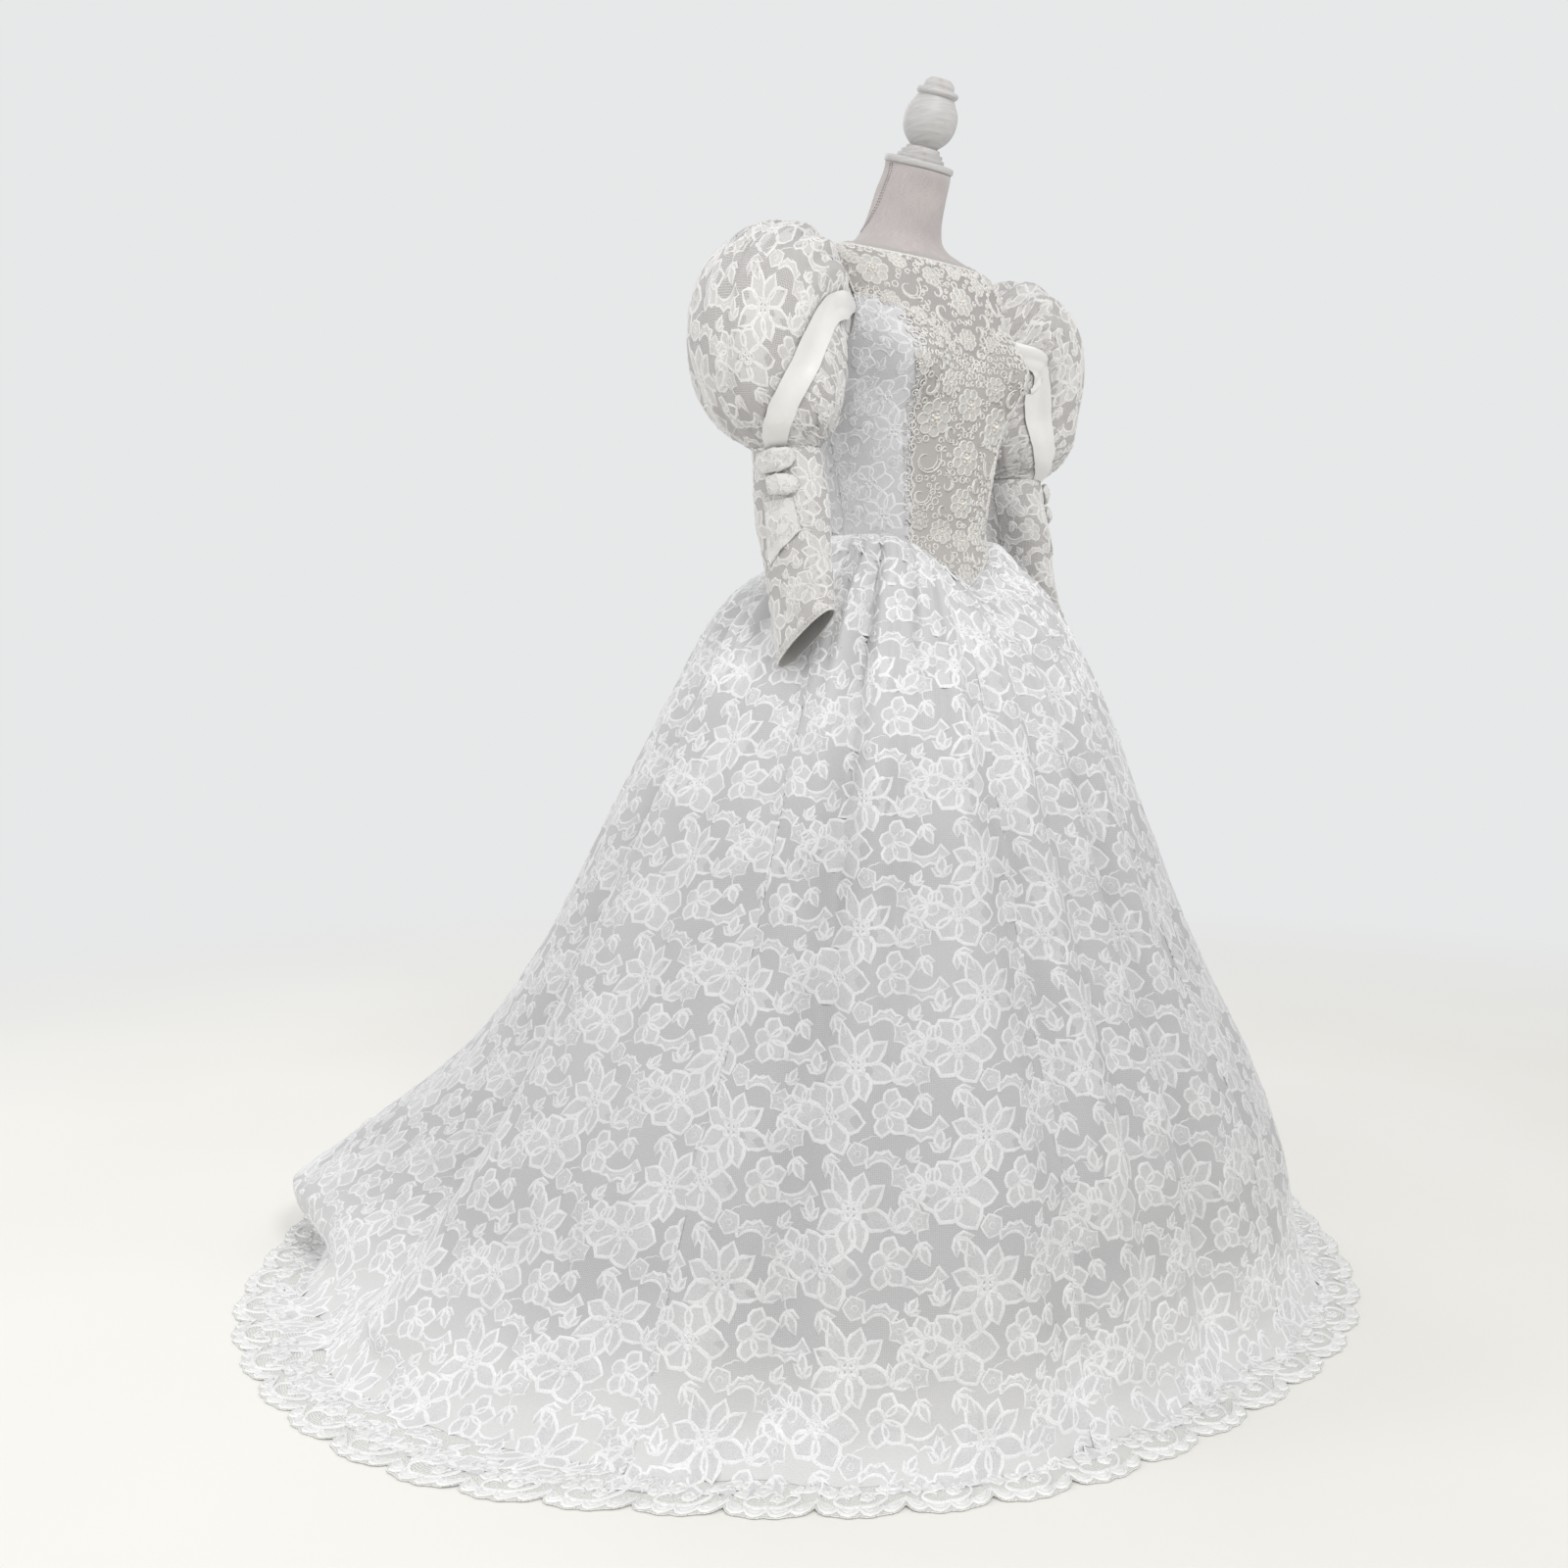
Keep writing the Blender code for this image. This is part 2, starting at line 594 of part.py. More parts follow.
def skirt_radius(angle, row):
    """The skirt's radius at a ring row, which may lie between two rings."""
    off = abs(turn_between(angle, 0))
    rows = [k for k in range(1, len(SKIRT_RINGS))]
    radii = [smooth_lookup(off, KEY_ANGLES, SKIRT_RINGS[k][1:]) for k in rows]
    return smooth_lookup(row, rows, radii)


def skirt_height(angle, row):
    z = straight_lookup(row, range(len(SKIRT_RINGS)), [r[0] for r in SKIRT_RINGS])
    fade = max(0.0, 1.0 - row / 4.0)
    return z + (waist_z(angle) - WAIST_Z) * fade


def uneven_turn(angle):
    """The gathers are not evenly spaced: this angle moves a little faster or slower than the real one."""
    return angle + 1.6 * math.sin(math.radians(3 * angle)) + 0.9 * math.sin(math.radians(7 * angle))


def gather_angle(half_gather):
    """The real angle of a ridge, when the number is even, or of a valley, when it is odd."""
    angles = [i * 0.25 for i in range(-1441, 1442)]
    return float(np.interp(half_gather * 180.0 / GATHERS, [uneven_turn(a) for a in angles], angles))


def skirt_folds(angle, row):
    """Pleats at the waist that merge into flutes, with the largest folds laid by hand."""
    last = len(SKIRT_RINGS) - 1
    share = row / last
    uneven = uneven_turn(angle)
    gather = GATHER_DEPTH * math.exp(-(((row - 2.6) / 2.0) ** 2)) * math.cos(math.radians(GATHERS * uneven))
    strength = 0.65 + 0.35 * math.sin(math.radians(5 * angle + 110))
    flute = FLUTE_DEPTH * strength * math.sin(math.pi * min(share * 1.15, 1.0)) ** 0.7
    flute *= math.cos(math.radians(GATHERS / 2 * uneven + 20))
    folds = gather + flute
    top = min(row / 2.0, 1.0)
    settle = 1.0 if row < last - 1 else 0.45
    for middle, upper, lower, half in MAIN_FOLDS:
        depth = (upper + (lower - upper) * share) * top
        folds += depth * bell(turn_between(angle, middle), half)
    return folds * settle * min(row, 1.0)


def bulge(angle, row):
    """The train's side folds, which stand out and roll under near the floor."""
    lift = bell(abs(turn_between(angle, 0)) - 141, 15)
    return lift * straight_lookup(row, [6, 7, 8, 9, 10, 11], [0.0, 0.034, 0.074, 0.085, -0.020, -0.050])


def skirt_point(angle, row):
    z = skirt_height(angle, row)
    if row <= 0:
        return bodice_surface(angle, waist_z(angle)) - np.array([0.0, 0.0, 0.0008])
    radius = skirt_radius(angle, max(row, 1)) + skirt_folds(angle, row) + bulge(angle, row)
    rad = math.radians(angle)
    low = np.array([radius * math.sin(rad), -radius * math.cos(rad), z])
    if row >= 1:
        return low
    high = bodice_surface(angle, waist_z(angle)) - np.array([0.0, 0.0, 0.0008])
    return high * (1 - row) + low * row


def make_skirt():
    rows = len(SKIRT_RINGS)
    whole = []
    for row in range(rows):
        ring = []
        for half_gather in range(GORES[0][1], GORES[-1][2]):
            ring.append(skirt_point(gather_angle(half_gather), row))
        whole.append(ring)
    whole = np.array(whole)
    normals = grid_normals(whole, True)
    centre = whole[3].mean(axis=0)
    if np.dot(normals[3, 0], whole[3, 0] - centre) < 0:
        normals = -normals
    thickness = np.full((rows, 1, 1), WALL)
    inner = whole - normals * thickness
    inner[0] = whole[0] - (whole[0] - whole[0].mean(axis=0)) * [[1, 1, 0]] * (WALL / 0.12)
    inner[-1, :, 2] = np.maximum(inner[-1, :, 2], HEM_THICKNESS + 0.0004)
    whole[-1, :, 2] = inner[-1, :, 2] + WALL
    count = whole.shape[1]
    start = 0
    for name, first, last in GORES:
        picks = [(start + i) % count for i in range(last - first + 1)]
        start += last - first
        outer_part, inner_part = whole[:, picks].copy(), inner[:, picks].copy()
        for edge, beside in ((0, 1), (-1, -2)):
            along = outer_part[:, beside] - outer_part[:, edge]
            step = along / np.linalg.norm(along, axis=1, keepdims=True) * SEAM * 0.75
            outer_part[:, edge] += step
            inner_part[:, edge] += step
        add_wall(name, outer_part, inner_part, False, "skirt_lace")


def hem_radius(angle):
    return smooth_lookup(abs(turn_between(angle, 0)), KEY_ANGLES, HEM_RADII)


def scallop(phase):
    """The hem lace's outline over one scallop: a broad lobe with three small ones on it."""
    broad = abs(math.sin(math.pi * phase)) ** 0.6
    return SCALLOP_DEPTH * (broad - 1.0) + 0.0028 * math.sin(3 * math.pi * phase) ** 2


def scallop_angles():
    """Angles of the scallops' ends, so that each scallop is as wide as the next along the hem."""
    fine = [i * 0.5 for i in range(721)]
    path = [0.0]
    for a, b in zip(fine, fine[1:]):
        ra, rb = hem_radius(a), hem_radius(b)
        path.append(path[-1] + math.hypot(rb - ra, (ra + rb) / 2 * math.radians(b - a)))
    total = path[-1]
    return lambda turn: float(np.interp(turn / SCALLOPS * total, path, fine))


def floor_radius(angle):
    last = len(SKIRT_RINGS) - 1
    return skirt_radius(angle, last) + skirt_folds(angle, last) + bulge(angle, last)


def make_hem_lace():
    """The flat border on the floor, which reaches in a little under the skirt's lower edge."""
    place = scallop_angles()
    for name, first, last in HEM_SEGMENTS:
        steps = (last - first) * SCALLOP_COLUMNS + 1
        rows_low, rows_high = [[], []], [[], []]
        for i in range(steps):
            turn = first + i / SCALLOP_COLUMNS
            rad = math.radians(place(turn % SCALLOPS))
            trim = {0: 0.0002, steps - 1: -0.0002}.get(i, 0.0)
            edge = hem_radius(math.degrees(rad)) + scallop(turn % 1.0)
            shift = np.array([math.cos(rad), math.sin(rad), 0.0]) * trim
            for k, radius in enumerate((floor_radius(math.degrees(rad)) - 0.014, edge)):
                point = np.array([radius * math.sin(rad), -radius * math.cos(rad), 0.0]) + shift
                rows_low[k].append(point)
                rows_high[k].append(point + np.array([0.0, 0.0, HEM_THICKNESS]))
        add_wall(name, np.array(rows_high), np.array(rows_low), False, "border_lace")


# Sleeves


def word_of(side):
    return "left" if side > 0 else "right"


def edge_points(panel, column, rows):
    """Points in the middle of a panel's thickness, down one of its edges."""
    outer, inner = panel
    return [(outer[row, column] + inner[row, column]) / 2 for row in rows]


def armhole_ring(side):
    """The armhole's edge on the panels, from the shoulder tip, down the front, and up the back."""
    pit_row = BODICE_LEVELS.index(ARMPIT_LEVEL)
    body_rows = range(pit_row, len(BODICE_LEVELS) - 1)
    tip_row = YOKE_LEVELS.index(SHOULDER_TIP_LEVEL)
    front_side = -1 if side > 0 else 0
    front = edge_points(bodice_panel(front_angles), front_side, body_rows)
    front += edge_points(yoke_panel(front_angles), front_side, range(tip_row + 1))
    back = edge_points(bodice_panel(back_angles(side)), 0, body_rows)
    back += edge_points(yoke_panel(back_angles(side)), 0, range(tip_row + 1))
    corners = [(front[-1] + back[-1]) / 2] + front[-2:0:-1] + [(front[0] + back[0]) / 2] + back[1:-1]
    points = []
    for here, there in zip(corners, corners[1:] + corners[:1]):
        points += [here, (here + there) / 2]
    return np.array(points)


def puff_rings(side):
    """The balloon's outer rings, from the armhole to the elbow."""
    edge = armhole_ring(side)
    middle = edge.mean(axis=0)
    inward = (middle - edge) / np.linalg.norm(middle - edge, axis=1, keepdims=True)
    first = edge + inward * 0.0013
    first[PIT_COLUMN - 1 : PIT_COLUMN + 2, 2] += 0.0010
    second = first + np.array([side * 0.0045, 0.0, 0.0])
    rings = [first, second]
    for k, (x, y, z, turn, deep, high) in enumerate(PUFF_RINGS):
        rad = math.radians(turn)
        up = np.array([side * math.sin(rad), 0.0, math.cos(rad)])
        ring = []
        for i in range(PUFF_COLUMNS):
            round_turn = 2 * math.pi * i / PUFF_COLUMNS
            from_band = i - BAND_PATH[word_of(side)][k + 2]
            under_band = bell(from_band * 0.8, 2.6)
            uneven = 0.02 * math.sin(3 * round_turn + k * 0.6) * (PUFF_WAVES[k] > 0)
            wave = 1.0 + (PUFF_WAVES[k] * math.cos(PUFF_GATHERS * round_turn) + uneven) * (1 - under_band)
            wave -= BAND_GROOVE[k + 2] / high * bell(from_band, 1.9)
            settle = min((k + 1) / 5.0, 1.0)
            shift_x, shift_y = PUFF_SHIFT[word_of(side)]
            centre = np.array([side * (x + shift_x * settle), y + shift_y * settle, z])
            offset = up * high * math.cos(round_turn) + np.array([0.0, -deep, 0.0]) * math.sin(round_turn)
            ring.append(centre + offset * wave)
        rings.append(np.array(ring))
    return np.array(rings)


def outward_normals(rings):
    normals = grid_normals(rings, True)
    middle = len(rings) // 2
    if np.dot(normals[middle, 0], rings[middle, 0] - rings[middle].mean(axis=0)) < 0:
        normals = -normals
    return normals


def cuff_z(z, y_share, row, last):
    """The cuff's edge slopes down to the back of the hand."""
    drop = (row / last) ** 2
    return z - CUFF_SLOPE * y_share * drop


def sleeve_rings(side):
    rings = []
    table = SLEEVE_RINGS[word_of(side)]
    last = len(table) - 1
    for row, (z, x, y, thick, deep) in enumerate(table):
        ring = []
        for i in range(SLEEVE_COLUMNS):
            turn = 2 * math.pi * i / SLEEVE_COLUMNS
            flat = 1.0 - 0.2 * min(row, 1)
            across = math.copysign(abs(math.cos(turn)) ** flat, math.cos(turn))
            along = math.sin(turn)
            height = cuff_z(z, -along, row, last)
            ring.append(np.array([side * (x + thick * across), y - deep * along, height]))
        rings.append(np.array(ring))
    return np.array(rings)


def make_sleeves(side, word):
    rings = puff_rings(side)
    inner = rings - outward_normals(rings) * WALL
    middle = rings[0].mean(axis=0)
    for k in (0, 1):
        inward = (middle - rings[k]) / np.linalg.norm(middle - rings[k], axis=1, keepdims=True)
        inner[k] = rings[k] + inward * WALL
    add_wall(f"puff_{word}", rings, inner, True, "sleeve_lace")
    rings = sleeve_rings(side)
    inner = rings - outward_normals(rings) * WALL
    inner[0, :, 2] = rings[0, :, 2]
    inner[-1, :, 2] = rings[-1, :, 2]
    add_wall(f"sleeve_{word}", rings, inner, True, "sleeve_lace")
    make_satin_band(side, word)
    make_bow(side, word)


def make_satin_band(side, word):
    """A satin strip down the front of the puff, moved out from the puff's own points."""
    rings = puff_rings(side)
    outer, inner = [], []
    for row in range(1, len(rings)):
        outer_row, inner_row = [], []
        for part in (-1.0, -0.5, 0.0, 0.5, 1.0):
            point, normal = ring_point(rings, row, BAND_PATH[word][row] + part * BAND_HALF[row])
            inner_row.append(point + normal * BAND_LIFT[row])
            outer_row.append(point + normal * (BAND_LIFT[row] + WALL))
        outer.append(outer_row)
        inner.append(inner_row)
    add_wall(f"satin_band_{word}", np.array(outer), np.array(inner), False, "satin")


def sleeve_row(z):
    """The row of the lower sleeve at a height."""
    table = SLEEVE_RINGS["right"]
    return straight_lookup(-z, [-ring[0] for ring in table], range(len(table)))


def make_bow(side, word):
    """A lace bow on the outside of the elbow: two folded loops and a pointed tail."""
    rings = sleeve_rings(side)
    for name, z, tilt, first, last, high, thick in BOW_LOOPS:
        vertices, faces = [], []
        stations, sides = 8, 6
        for j in range(stations):
            share = j / (stations - 1)
            swell = 0.25 + 0.75 * math.sin(math.pi * (0.08 + 0.84 * share)) ** 0.7
            for i in range(sides):
                turn = 2 * math.pi * i / sides
                height = z + tilt * (share - 0.5) + high * swell * math.sin(turn)
                point, normal = ring_point(rings, sleeve_row(height), first + (last - first) * share)
                out = 0.0012 + thick * swell * (1.0 - math.cos(turn))
                vertices.append(point + normal * out)
        for j in range(stations - 1):
            for i in range(sides):
                k = (i + 1) % sides
                a, b, c, d = j * sides + i, j * sides + k, (j + 1) * sides + k, (j + 1) * sides + i
                faces += [(a, b, c), (a, c, d)]
        for j, flip in ((0, True), (stations - 1, False)):
            centre = len(vertices)
            vertices.append(np.mean(vertices[j * sides : (j + 1) * sides], axis=0))
            for i in range(sides):
                face = (j * sides + i, j * sides + (i + 1) % sides, centre)
                faces.append(face[::-1] if flip else face)
        add_object(f"{name}_{word}", np.array(vertices), faces, "sleeve_lace")
    outer, inner = [], []
    for share in between(0.0, 1.0, 6):
        outer_row, inner_row = [], []
        for across in between(0.0, 1.0, 5):
            low_z = BOW_TAIL["low_left_z"] * (1 - across) + BOW_TAIL["low_right_z"] * across
            z = BOW_TAIL["top_z"] * (1 - share) + low_z * share
            left = BOW_TAIL["top"][0] * (1 - share) + BOW_TAIL["low"][0] * share
            right = BOW_TAIL["top"][1] * (1 - share) + BOW_TAIL["low"][1] * share
            point, normal = ring_point(rings, sleeve_row(z), left + (right - left) * across)
            inner_row.append(point + normal * 0.0016)
            outer_row.append(point + normal * 0.0030)
        outer.append(outer_row)
        inner.append(inner_row)
    add_wall(f"bow_tail_{word}", np.array(outer), np.array(inner), False, "sleeve_lace")


def ring_point(rings, row, column):
    """A point and an outward normal on a tube of rings, between its rows and columns."""
    normals = outward_normals(rings)
    count = rings.shape[1]
    j = min(int(row), len(rings) - 2)
    i = int(math.floor(column))
    s, t = row - j, column - i
    weights = [((1 - s) * (1 - t), j, i), ((1 - s) * t, j, i + 1), (s * (1 - t), j + 1, i), (s * t, j + 1, i + 1)]
    point = sum(w * rings[a, b % count] for w, a, b in weights)
    normal = sum(w * normals[a, b % count] for w, a, b in weights)
    return point, normal / np.linalg.norm(normal)


def main():
    for old in list(bpy.data.objects):
        bpy.data.objects.remove(old)
    make_form()
    make_neck_cap_and_finial()
    make_stand()
    make_bodice()
    make_applique()
    make_neck_edging()
    make_back_placket()
    make_skirt()
    make_hem_lace()
    for side, word in ((1, "left"), (-1, "right")):
        make_sleeves(side, word)


main()
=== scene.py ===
"""The lace wedding dress on its dress form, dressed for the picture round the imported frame.

Metres, +Z up. The dress faces -Y and its train runs towards +Y. Angles round the body are in degrees
from the centre front, and are positive towards the dress's left side, +X. Each cloth piece is a fine
grid of points. The lace on it is drawn flat, in metres, and laid on the grid by lengths along the cloth.
"""

import math

import bpy
import numpy as np
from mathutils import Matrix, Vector


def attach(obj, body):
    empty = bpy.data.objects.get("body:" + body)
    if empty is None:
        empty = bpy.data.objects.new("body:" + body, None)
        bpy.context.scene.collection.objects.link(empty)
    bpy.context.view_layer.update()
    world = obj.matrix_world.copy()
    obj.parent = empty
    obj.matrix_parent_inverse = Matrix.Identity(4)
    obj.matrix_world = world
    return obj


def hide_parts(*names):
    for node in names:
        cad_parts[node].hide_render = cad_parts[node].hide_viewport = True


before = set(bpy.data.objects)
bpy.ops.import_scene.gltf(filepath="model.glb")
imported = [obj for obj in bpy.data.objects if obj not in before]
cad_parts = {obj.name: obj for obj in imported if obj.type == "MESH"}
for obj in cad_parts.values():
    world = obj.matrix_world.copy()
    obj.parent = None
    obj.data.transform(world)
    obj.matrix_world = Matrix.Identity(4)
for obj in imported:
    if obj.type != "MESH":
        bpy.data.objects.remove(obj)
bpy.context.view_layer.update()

# Camera and light
CAMERA_PLACE = (-1.628, -1.548, 0.870)
CAMERA_AIM = (0.669, 0.743, 0.0)
CAMERA_LENS = 36.0
CAMERA_SENSOR = 36.0
CAMERA_SHIFT = -0.075
SKY = (0.80, 0.806, 0.812)
FLOOR_HALF = 30.0
FLOOR_NEAR = 1.9
FLOOR_FAR = 3.6
LIGHTS = [
    # name, place, aim, size, power, colour
    ("key", (-1.3, -2.9, 3.5), (0, 0, 0.8), 1.3, 66, (1.0, 0.99, 0.975)),
    ("side", (-3.1, 1.7, 1.8), (-0.3, 0.7, 0.2), 1.6, 22, (1.0, 0.99, 0.98)),
    ("back", (0.6, 2.9, 3.0), (0, 0, 0.8), 2.0, 16, (0.97, 0.98, 1.0)),
]

# Cloth
CLOTH = 0.0012
SHEER = 0.0008
SLEEVE_CLOTH = 0.0009
EDGING_CLOTH = 0.0010
WALL = 0.0016
SEAM = 0.0003
BODICE_EASE = 0.0036
HEM_THICKNESS = 0.0022

# Heights
WAIST_Z = 1.050
POINT_DROP = 0.073
POINT_HALF_ANGLE = 46.0
POINT_BEND = 10.0
SWEETHEART_SIDE_Z = 1.370
SWEETHEART_FRONT_Z = 1.268
SWEETHEART_BACK_Z = 1.385
NECK_BASE_Z = 1.490
NECK_TOP_Z = 1.575
NECK_LEAN = math.radians(21)

# The form's cross sections: height, half width, depth in front, depth behind, shift along Y
FORM_SECTIONS = [
    (0.800, 0.160, 0.108, 0.120, 0.000),
    (0.900, 0.166, 0.115, 0.124, 0.000),
    (0.970, 0.148, 0.112, 0.108, 0.000),
    (1.050, 0.119, 0.096, 0.090, 0.000),
    (1.090, 0.122, 0.098, 0.092, 0.000),
    (1.150, 0.136, 0.105, 0.096, 0.000),
    (1.210, 0.149, 0.112, 0.100, 0.000),
    (1.285, 0.157, 0.114, 0.104, 0.000),
    (1.345, 0.164, 0.106, 0.106, 0.000),
    (1.395, 0.170, 0.094, 0.102, 0.001),
    (1.415, 0.169, 0.086, 0.098, 0.002),
    (1.430, 0.163, 0.075, 0.092, 0.004),
    (1.443, 0.148, 0.065, 0.086, 0.007),
    (1.453, 0.124, 0.059, 0.080, 0.010),
    (1.463, 0.092, 0.055, 0.073, 0.013),
    (1.475, 0.071, 0.054, 0.065, 0.013),
    (1.490, 0.061, 0.054, 0.057, 0.009),
    (1.510, 0.055, 0.052, 0.052, 0.002),
    (1.540, 0.0505, 0.049, 0.050, -0.010),
    (1.575, 0.046, 0.046, 0.046, -0.0235),
]
BUST = {"angle": 38.0, "half_angle": 26.25, "z": 1.278, "below": 0.052, "above": 0.058, "depth": 0.040}

# The armhole's edge: height, angle from the centre front at which a front panel ends
ARMHOLE = [(1.050, 90), (1.260, 90), (1.290, 79), (1.315, 69), (1.345, 64), (1.370, 63.5), (1.395, 66),
           (1.415, 73), (1.430, 88), (1.440, 90), (1.500, 90)]
BODICE_LEVELS = [1.050, 1.095, 1.140, 1.185, 1.225, 1.260, 1.290, 1.315, 1.345, 1.370]
YOKE_LEVELS = [1.370, 1.395, 1.415, 1.430, 1.443, 1.453]
PIT_ROW = 5
TIP_ROW = 3
# The neckline: angle from the centre front, height, rise of the scalloped edging above it
NECKLINE = [(0, 1.432, 0.0085), (35, 1.436, 0.0070), (65, 1.446, 0.0050), (90, 1.455, 0.0040),
            (120, 1.461, 0.0050), (150, 1.466, 0.0070), (180, 1.468, 0.0085)]
SEAM_TURN = 0.13

# The skirt's rings. Radius at each key angle, from the waist seam down to the floor
KEY_ANGLES = [0, 35, 65, 90, 120, 150, 180]
SKIRT_HEIGHTS = [1.050, 1.026, 0.985, 0.920, 0.820, 0.660, 0.480, 0.320, 0.190, 0.090, 0.032, 0.0024]
SKIRT_RADII = [
    (0.128, 0.142, 0.156, 0.162, 0.166, 0.172, 0.176),
    (0.160, 0.178, 0.194, 0.200, 0.212, 0.226, 0.238),
    (0.204, 0.222, 0.236, 0.248, 0.260, 0.278, 0.300),
    (0.250, 0.270, 0.285, 0.298, 0.312, 0.330, 0.356),
    (0.305, 0.327, 0.346, 0.366, 0.388, 0.416, 0.450),
    (0.368, 0.396, 0.420, 0.450, 0.476, 0.508, 0.556),
    (0.427, 0.470, 0.498, 0.530, 0.556, 0.590, 0.680),
    (0.457, 0.514, 0.552, 0.600, 0.646, 0.720, 0.870),
    (0.467, 0.531, 0.579, 0.652, 0.736, 0.855, 1.060),
    (0.475, 0.541, 0.596, 0.686, 0.784, 0.905, 1.150),
    (0.494, 0.560, 0.622, 0.716, 0.826, 0.940, 1.190),
]
LAST_RING = 11
HEM_RADII = [0.560, 0.612, 0.690, 0.820, 0.915, 0.985, 1.300]

# Folds of the skirt: angle, depth at the top, depth at the floor, half width in degrees. Minus is a valley
MAIN_FOLDS = [
    (-160, -0.010, -0.045, 8), (-142, 0.010, 0.046, 13), (-119, -0.030, -0.060, 7), (-106, 0.014, 0.030, 8),
    (-82, -0.018, -0.020, 7), (-61, -0.020, -0.026, 5), (-48, -0.022, -0.006, 4), (-24, -0.008, -0.018, 6),
    (7, -0.018, -0.016, 5), (34, -0.008, -0.020, 6), (60, -0.020, -0.026, 5), (88, -0.030, -0.020, 9),
    (107, 0.014, 0.030, 8), (120, -0.030, -0.060, 7), (142, 0.010, 0.046, 13), (160, -0.010, -0.045, 8),
    (180, 0.006, 0.020, 10),
]
GATHERS = 44
GATHER_DEPTH = 0.0055
FLUTE_DEPTH = 0.0095
PLEAT_DEPTH = 0.0032

# The skirt is cut in gores, which meet on the ridges of the gathers: name, first and last half gather
GORES = [
    ("skirt_front", -6, 6), ("skirt_side_front_left", 6, 18), ("skirt_side_left", 18, 28),
    ("skirt_side_back_left", 28, 36), ("skirt_train_left", 36, 44), ("skirt_train_right", 44, 52),
    ("skirt_side_back_right", 52, 60), ("skirt_side_right", 60, 70), ("skirt_side_front_right", 70, 82),
]
HIDDEN_GORES = ("skirt_side_left", "skirt_side_back_left", "skirt_train_left")
GORE_COLUMNS = 5
# At its side seams a gore runs a little under the next one: by this part of a half gather, and this deep
TUCK = 0.1
TUCK_DEPTH = 0.00015
SKIRT_ROWS = 58

# Hem lace: scallops round the whole hem, each with a few small lobes
SCALLOPS = 56
SCALLOP_DEPTH = 0.016
HEM_SEGMENTS = [
    ("hem_lace_front", -8, 8), ("hem_lace_left", 8, 20), ("hem_lace_train_left", 20, 28),
    ("hem_lace_train_right", 28, 36), ("hem_lace_right", 36, 48),
]
HEM_COLUMNS = 14
HEM_ROWS = 8

# Puff sleeve rings: centre x (outwards), y, z, turn from sideways to downwards in degrees,
# half depth along Y, half height across
PUFF_RINGS = [
    (0.212, -0.003, 1.358, 14, 0.096, 0.097),
    (0.246, -0.006, 1.347, 34, 0.108, 0.103),
    (0.268, -0.010, 1.322, 54, 0.113, 0.103),
    (0.280, -0.015, 1.283, 71, 0.112, 0.098),
    (0.282, -0.020, 1.243, 80, 0.106, 0.092),
    (0.279, -0.026, 1.207, 86, 0.094, 0.082),
    (0.271, -0.031, 1.176, 90, 0.074, 0.064),
    (0.262, -0.035, 1.152, 90, 0.048, 0.040),
]
PUFF_SHIFT = {"right": (0.0, 0.0), "left": (-0.030, 0.036)}
PUFF_COLUMNS = 28
PUFF_GATHERS = 14
PUFF_WAVES = [0.0, 0.0, 0.06, 0.04, 0.022, 0.016, 0.020, 0.034, 0.050, 0.0]
PIT_COLUMN = 14
PUFF_FINE_COLUMNS = 168
PUFF_FINE_ROWS = 38

# Lower sleeve rings: height, centre x, centre y, half thickness, half depth
SLEEVE_RINGS = {
    "right": [
        (1.1514, 0.2620, -0.035, 0.040, 0.048),
        (1.1200, 0.2620, -0.040, 0.040, 0.049),
        (1.0600, 0.2620, -0.048, 0.038, 0.051),
        (1.0000, 0.2640, -0.060, 0.031, 0.051),
        (0.9500, 0.2670, -0.072, 0.024, 0.050),
        (0.9050, 0.2720, -0.084, 0.017, 0.048),
    ],
    "left": [
        (1.1514, 0.2320, 0.001, 0.040, 0.048),
        (1.1200, 0.2350, 0.000, 0.040, 0.049),
        (1.0600, 0.2430, -0.003, 0.037, 0.051),
        (1.0000, 0.2540, -0.006, 0.030, 0.051),
        (0.9500, 0.2660, -0.009, 0.023, 0.050),
        (0.9100, 0.2800, -0.012, 0.017, 0.048),
    ],
}
SLEEVE_COLUMNS = 16
SLEEVE_FINE_COLUMNS = 64
SLEEVE_FINE_ROWS = 36
CUFF_SLOPE = 0.036
# The satin band's middle line on the puff and its half width, both in the puff's columns
BAND_PATH = {
    "right": [7.2, 7.3, 8.0, 7.9, 7.5, 6.8, 5.9, 4.7, 3.3, 1.9],
    "left": [8.2, 8.3, 9.0, 9.7, 9.8, 9.7, 9.3, 8.9, 8.0, 6.0],
}
BAND_HALF = [0.8, 0.8, 0.85, 0.95, 1.0, 1.05, 1.05, 1.05, 1.2, 1.5]
BAND_LIFT = [0.0, 0.0034, 0.0050, 0.0052, 0.0052, 0.0052, 0.0052, 0.0052, 0.0050, 0.0022]
BAND_GROOVE = [0.0, 0.0, 0.008, 0.014, 0.018, 0.017, 0.013, 0.008, 0.004, 0.0]

# Bow loops on each elbow: name, height, tilt, first and last column, half height, thickness
BOW_LOOPS = [
    ("bow_loop_upper", 1.129, 0.006, -0.4, 2.5, 0.014, 0.007),
    ("bow_loop_lower", 1.098, -0.004, 0.2, 2.6, 0.014, 0.006),
]
BOW_TAIL = {
    "top_z": 1.0800, "low_left_z": 1.002, "low_right_z": 1.036, "top": (-0.3, 2.0), "low": (-1.0, 2.3),
}

# The grid round the torso
TORSO_COLUMNS = 360
TORSO_ROWS = 130
TORSO_LOW = 0.972
TORSO_HIGH = 1.474
ARMPIT_Z = 1.260
SWEETHEART_LOW_Z = 0.980
APPLIQUE_TOP_Z = 1.300

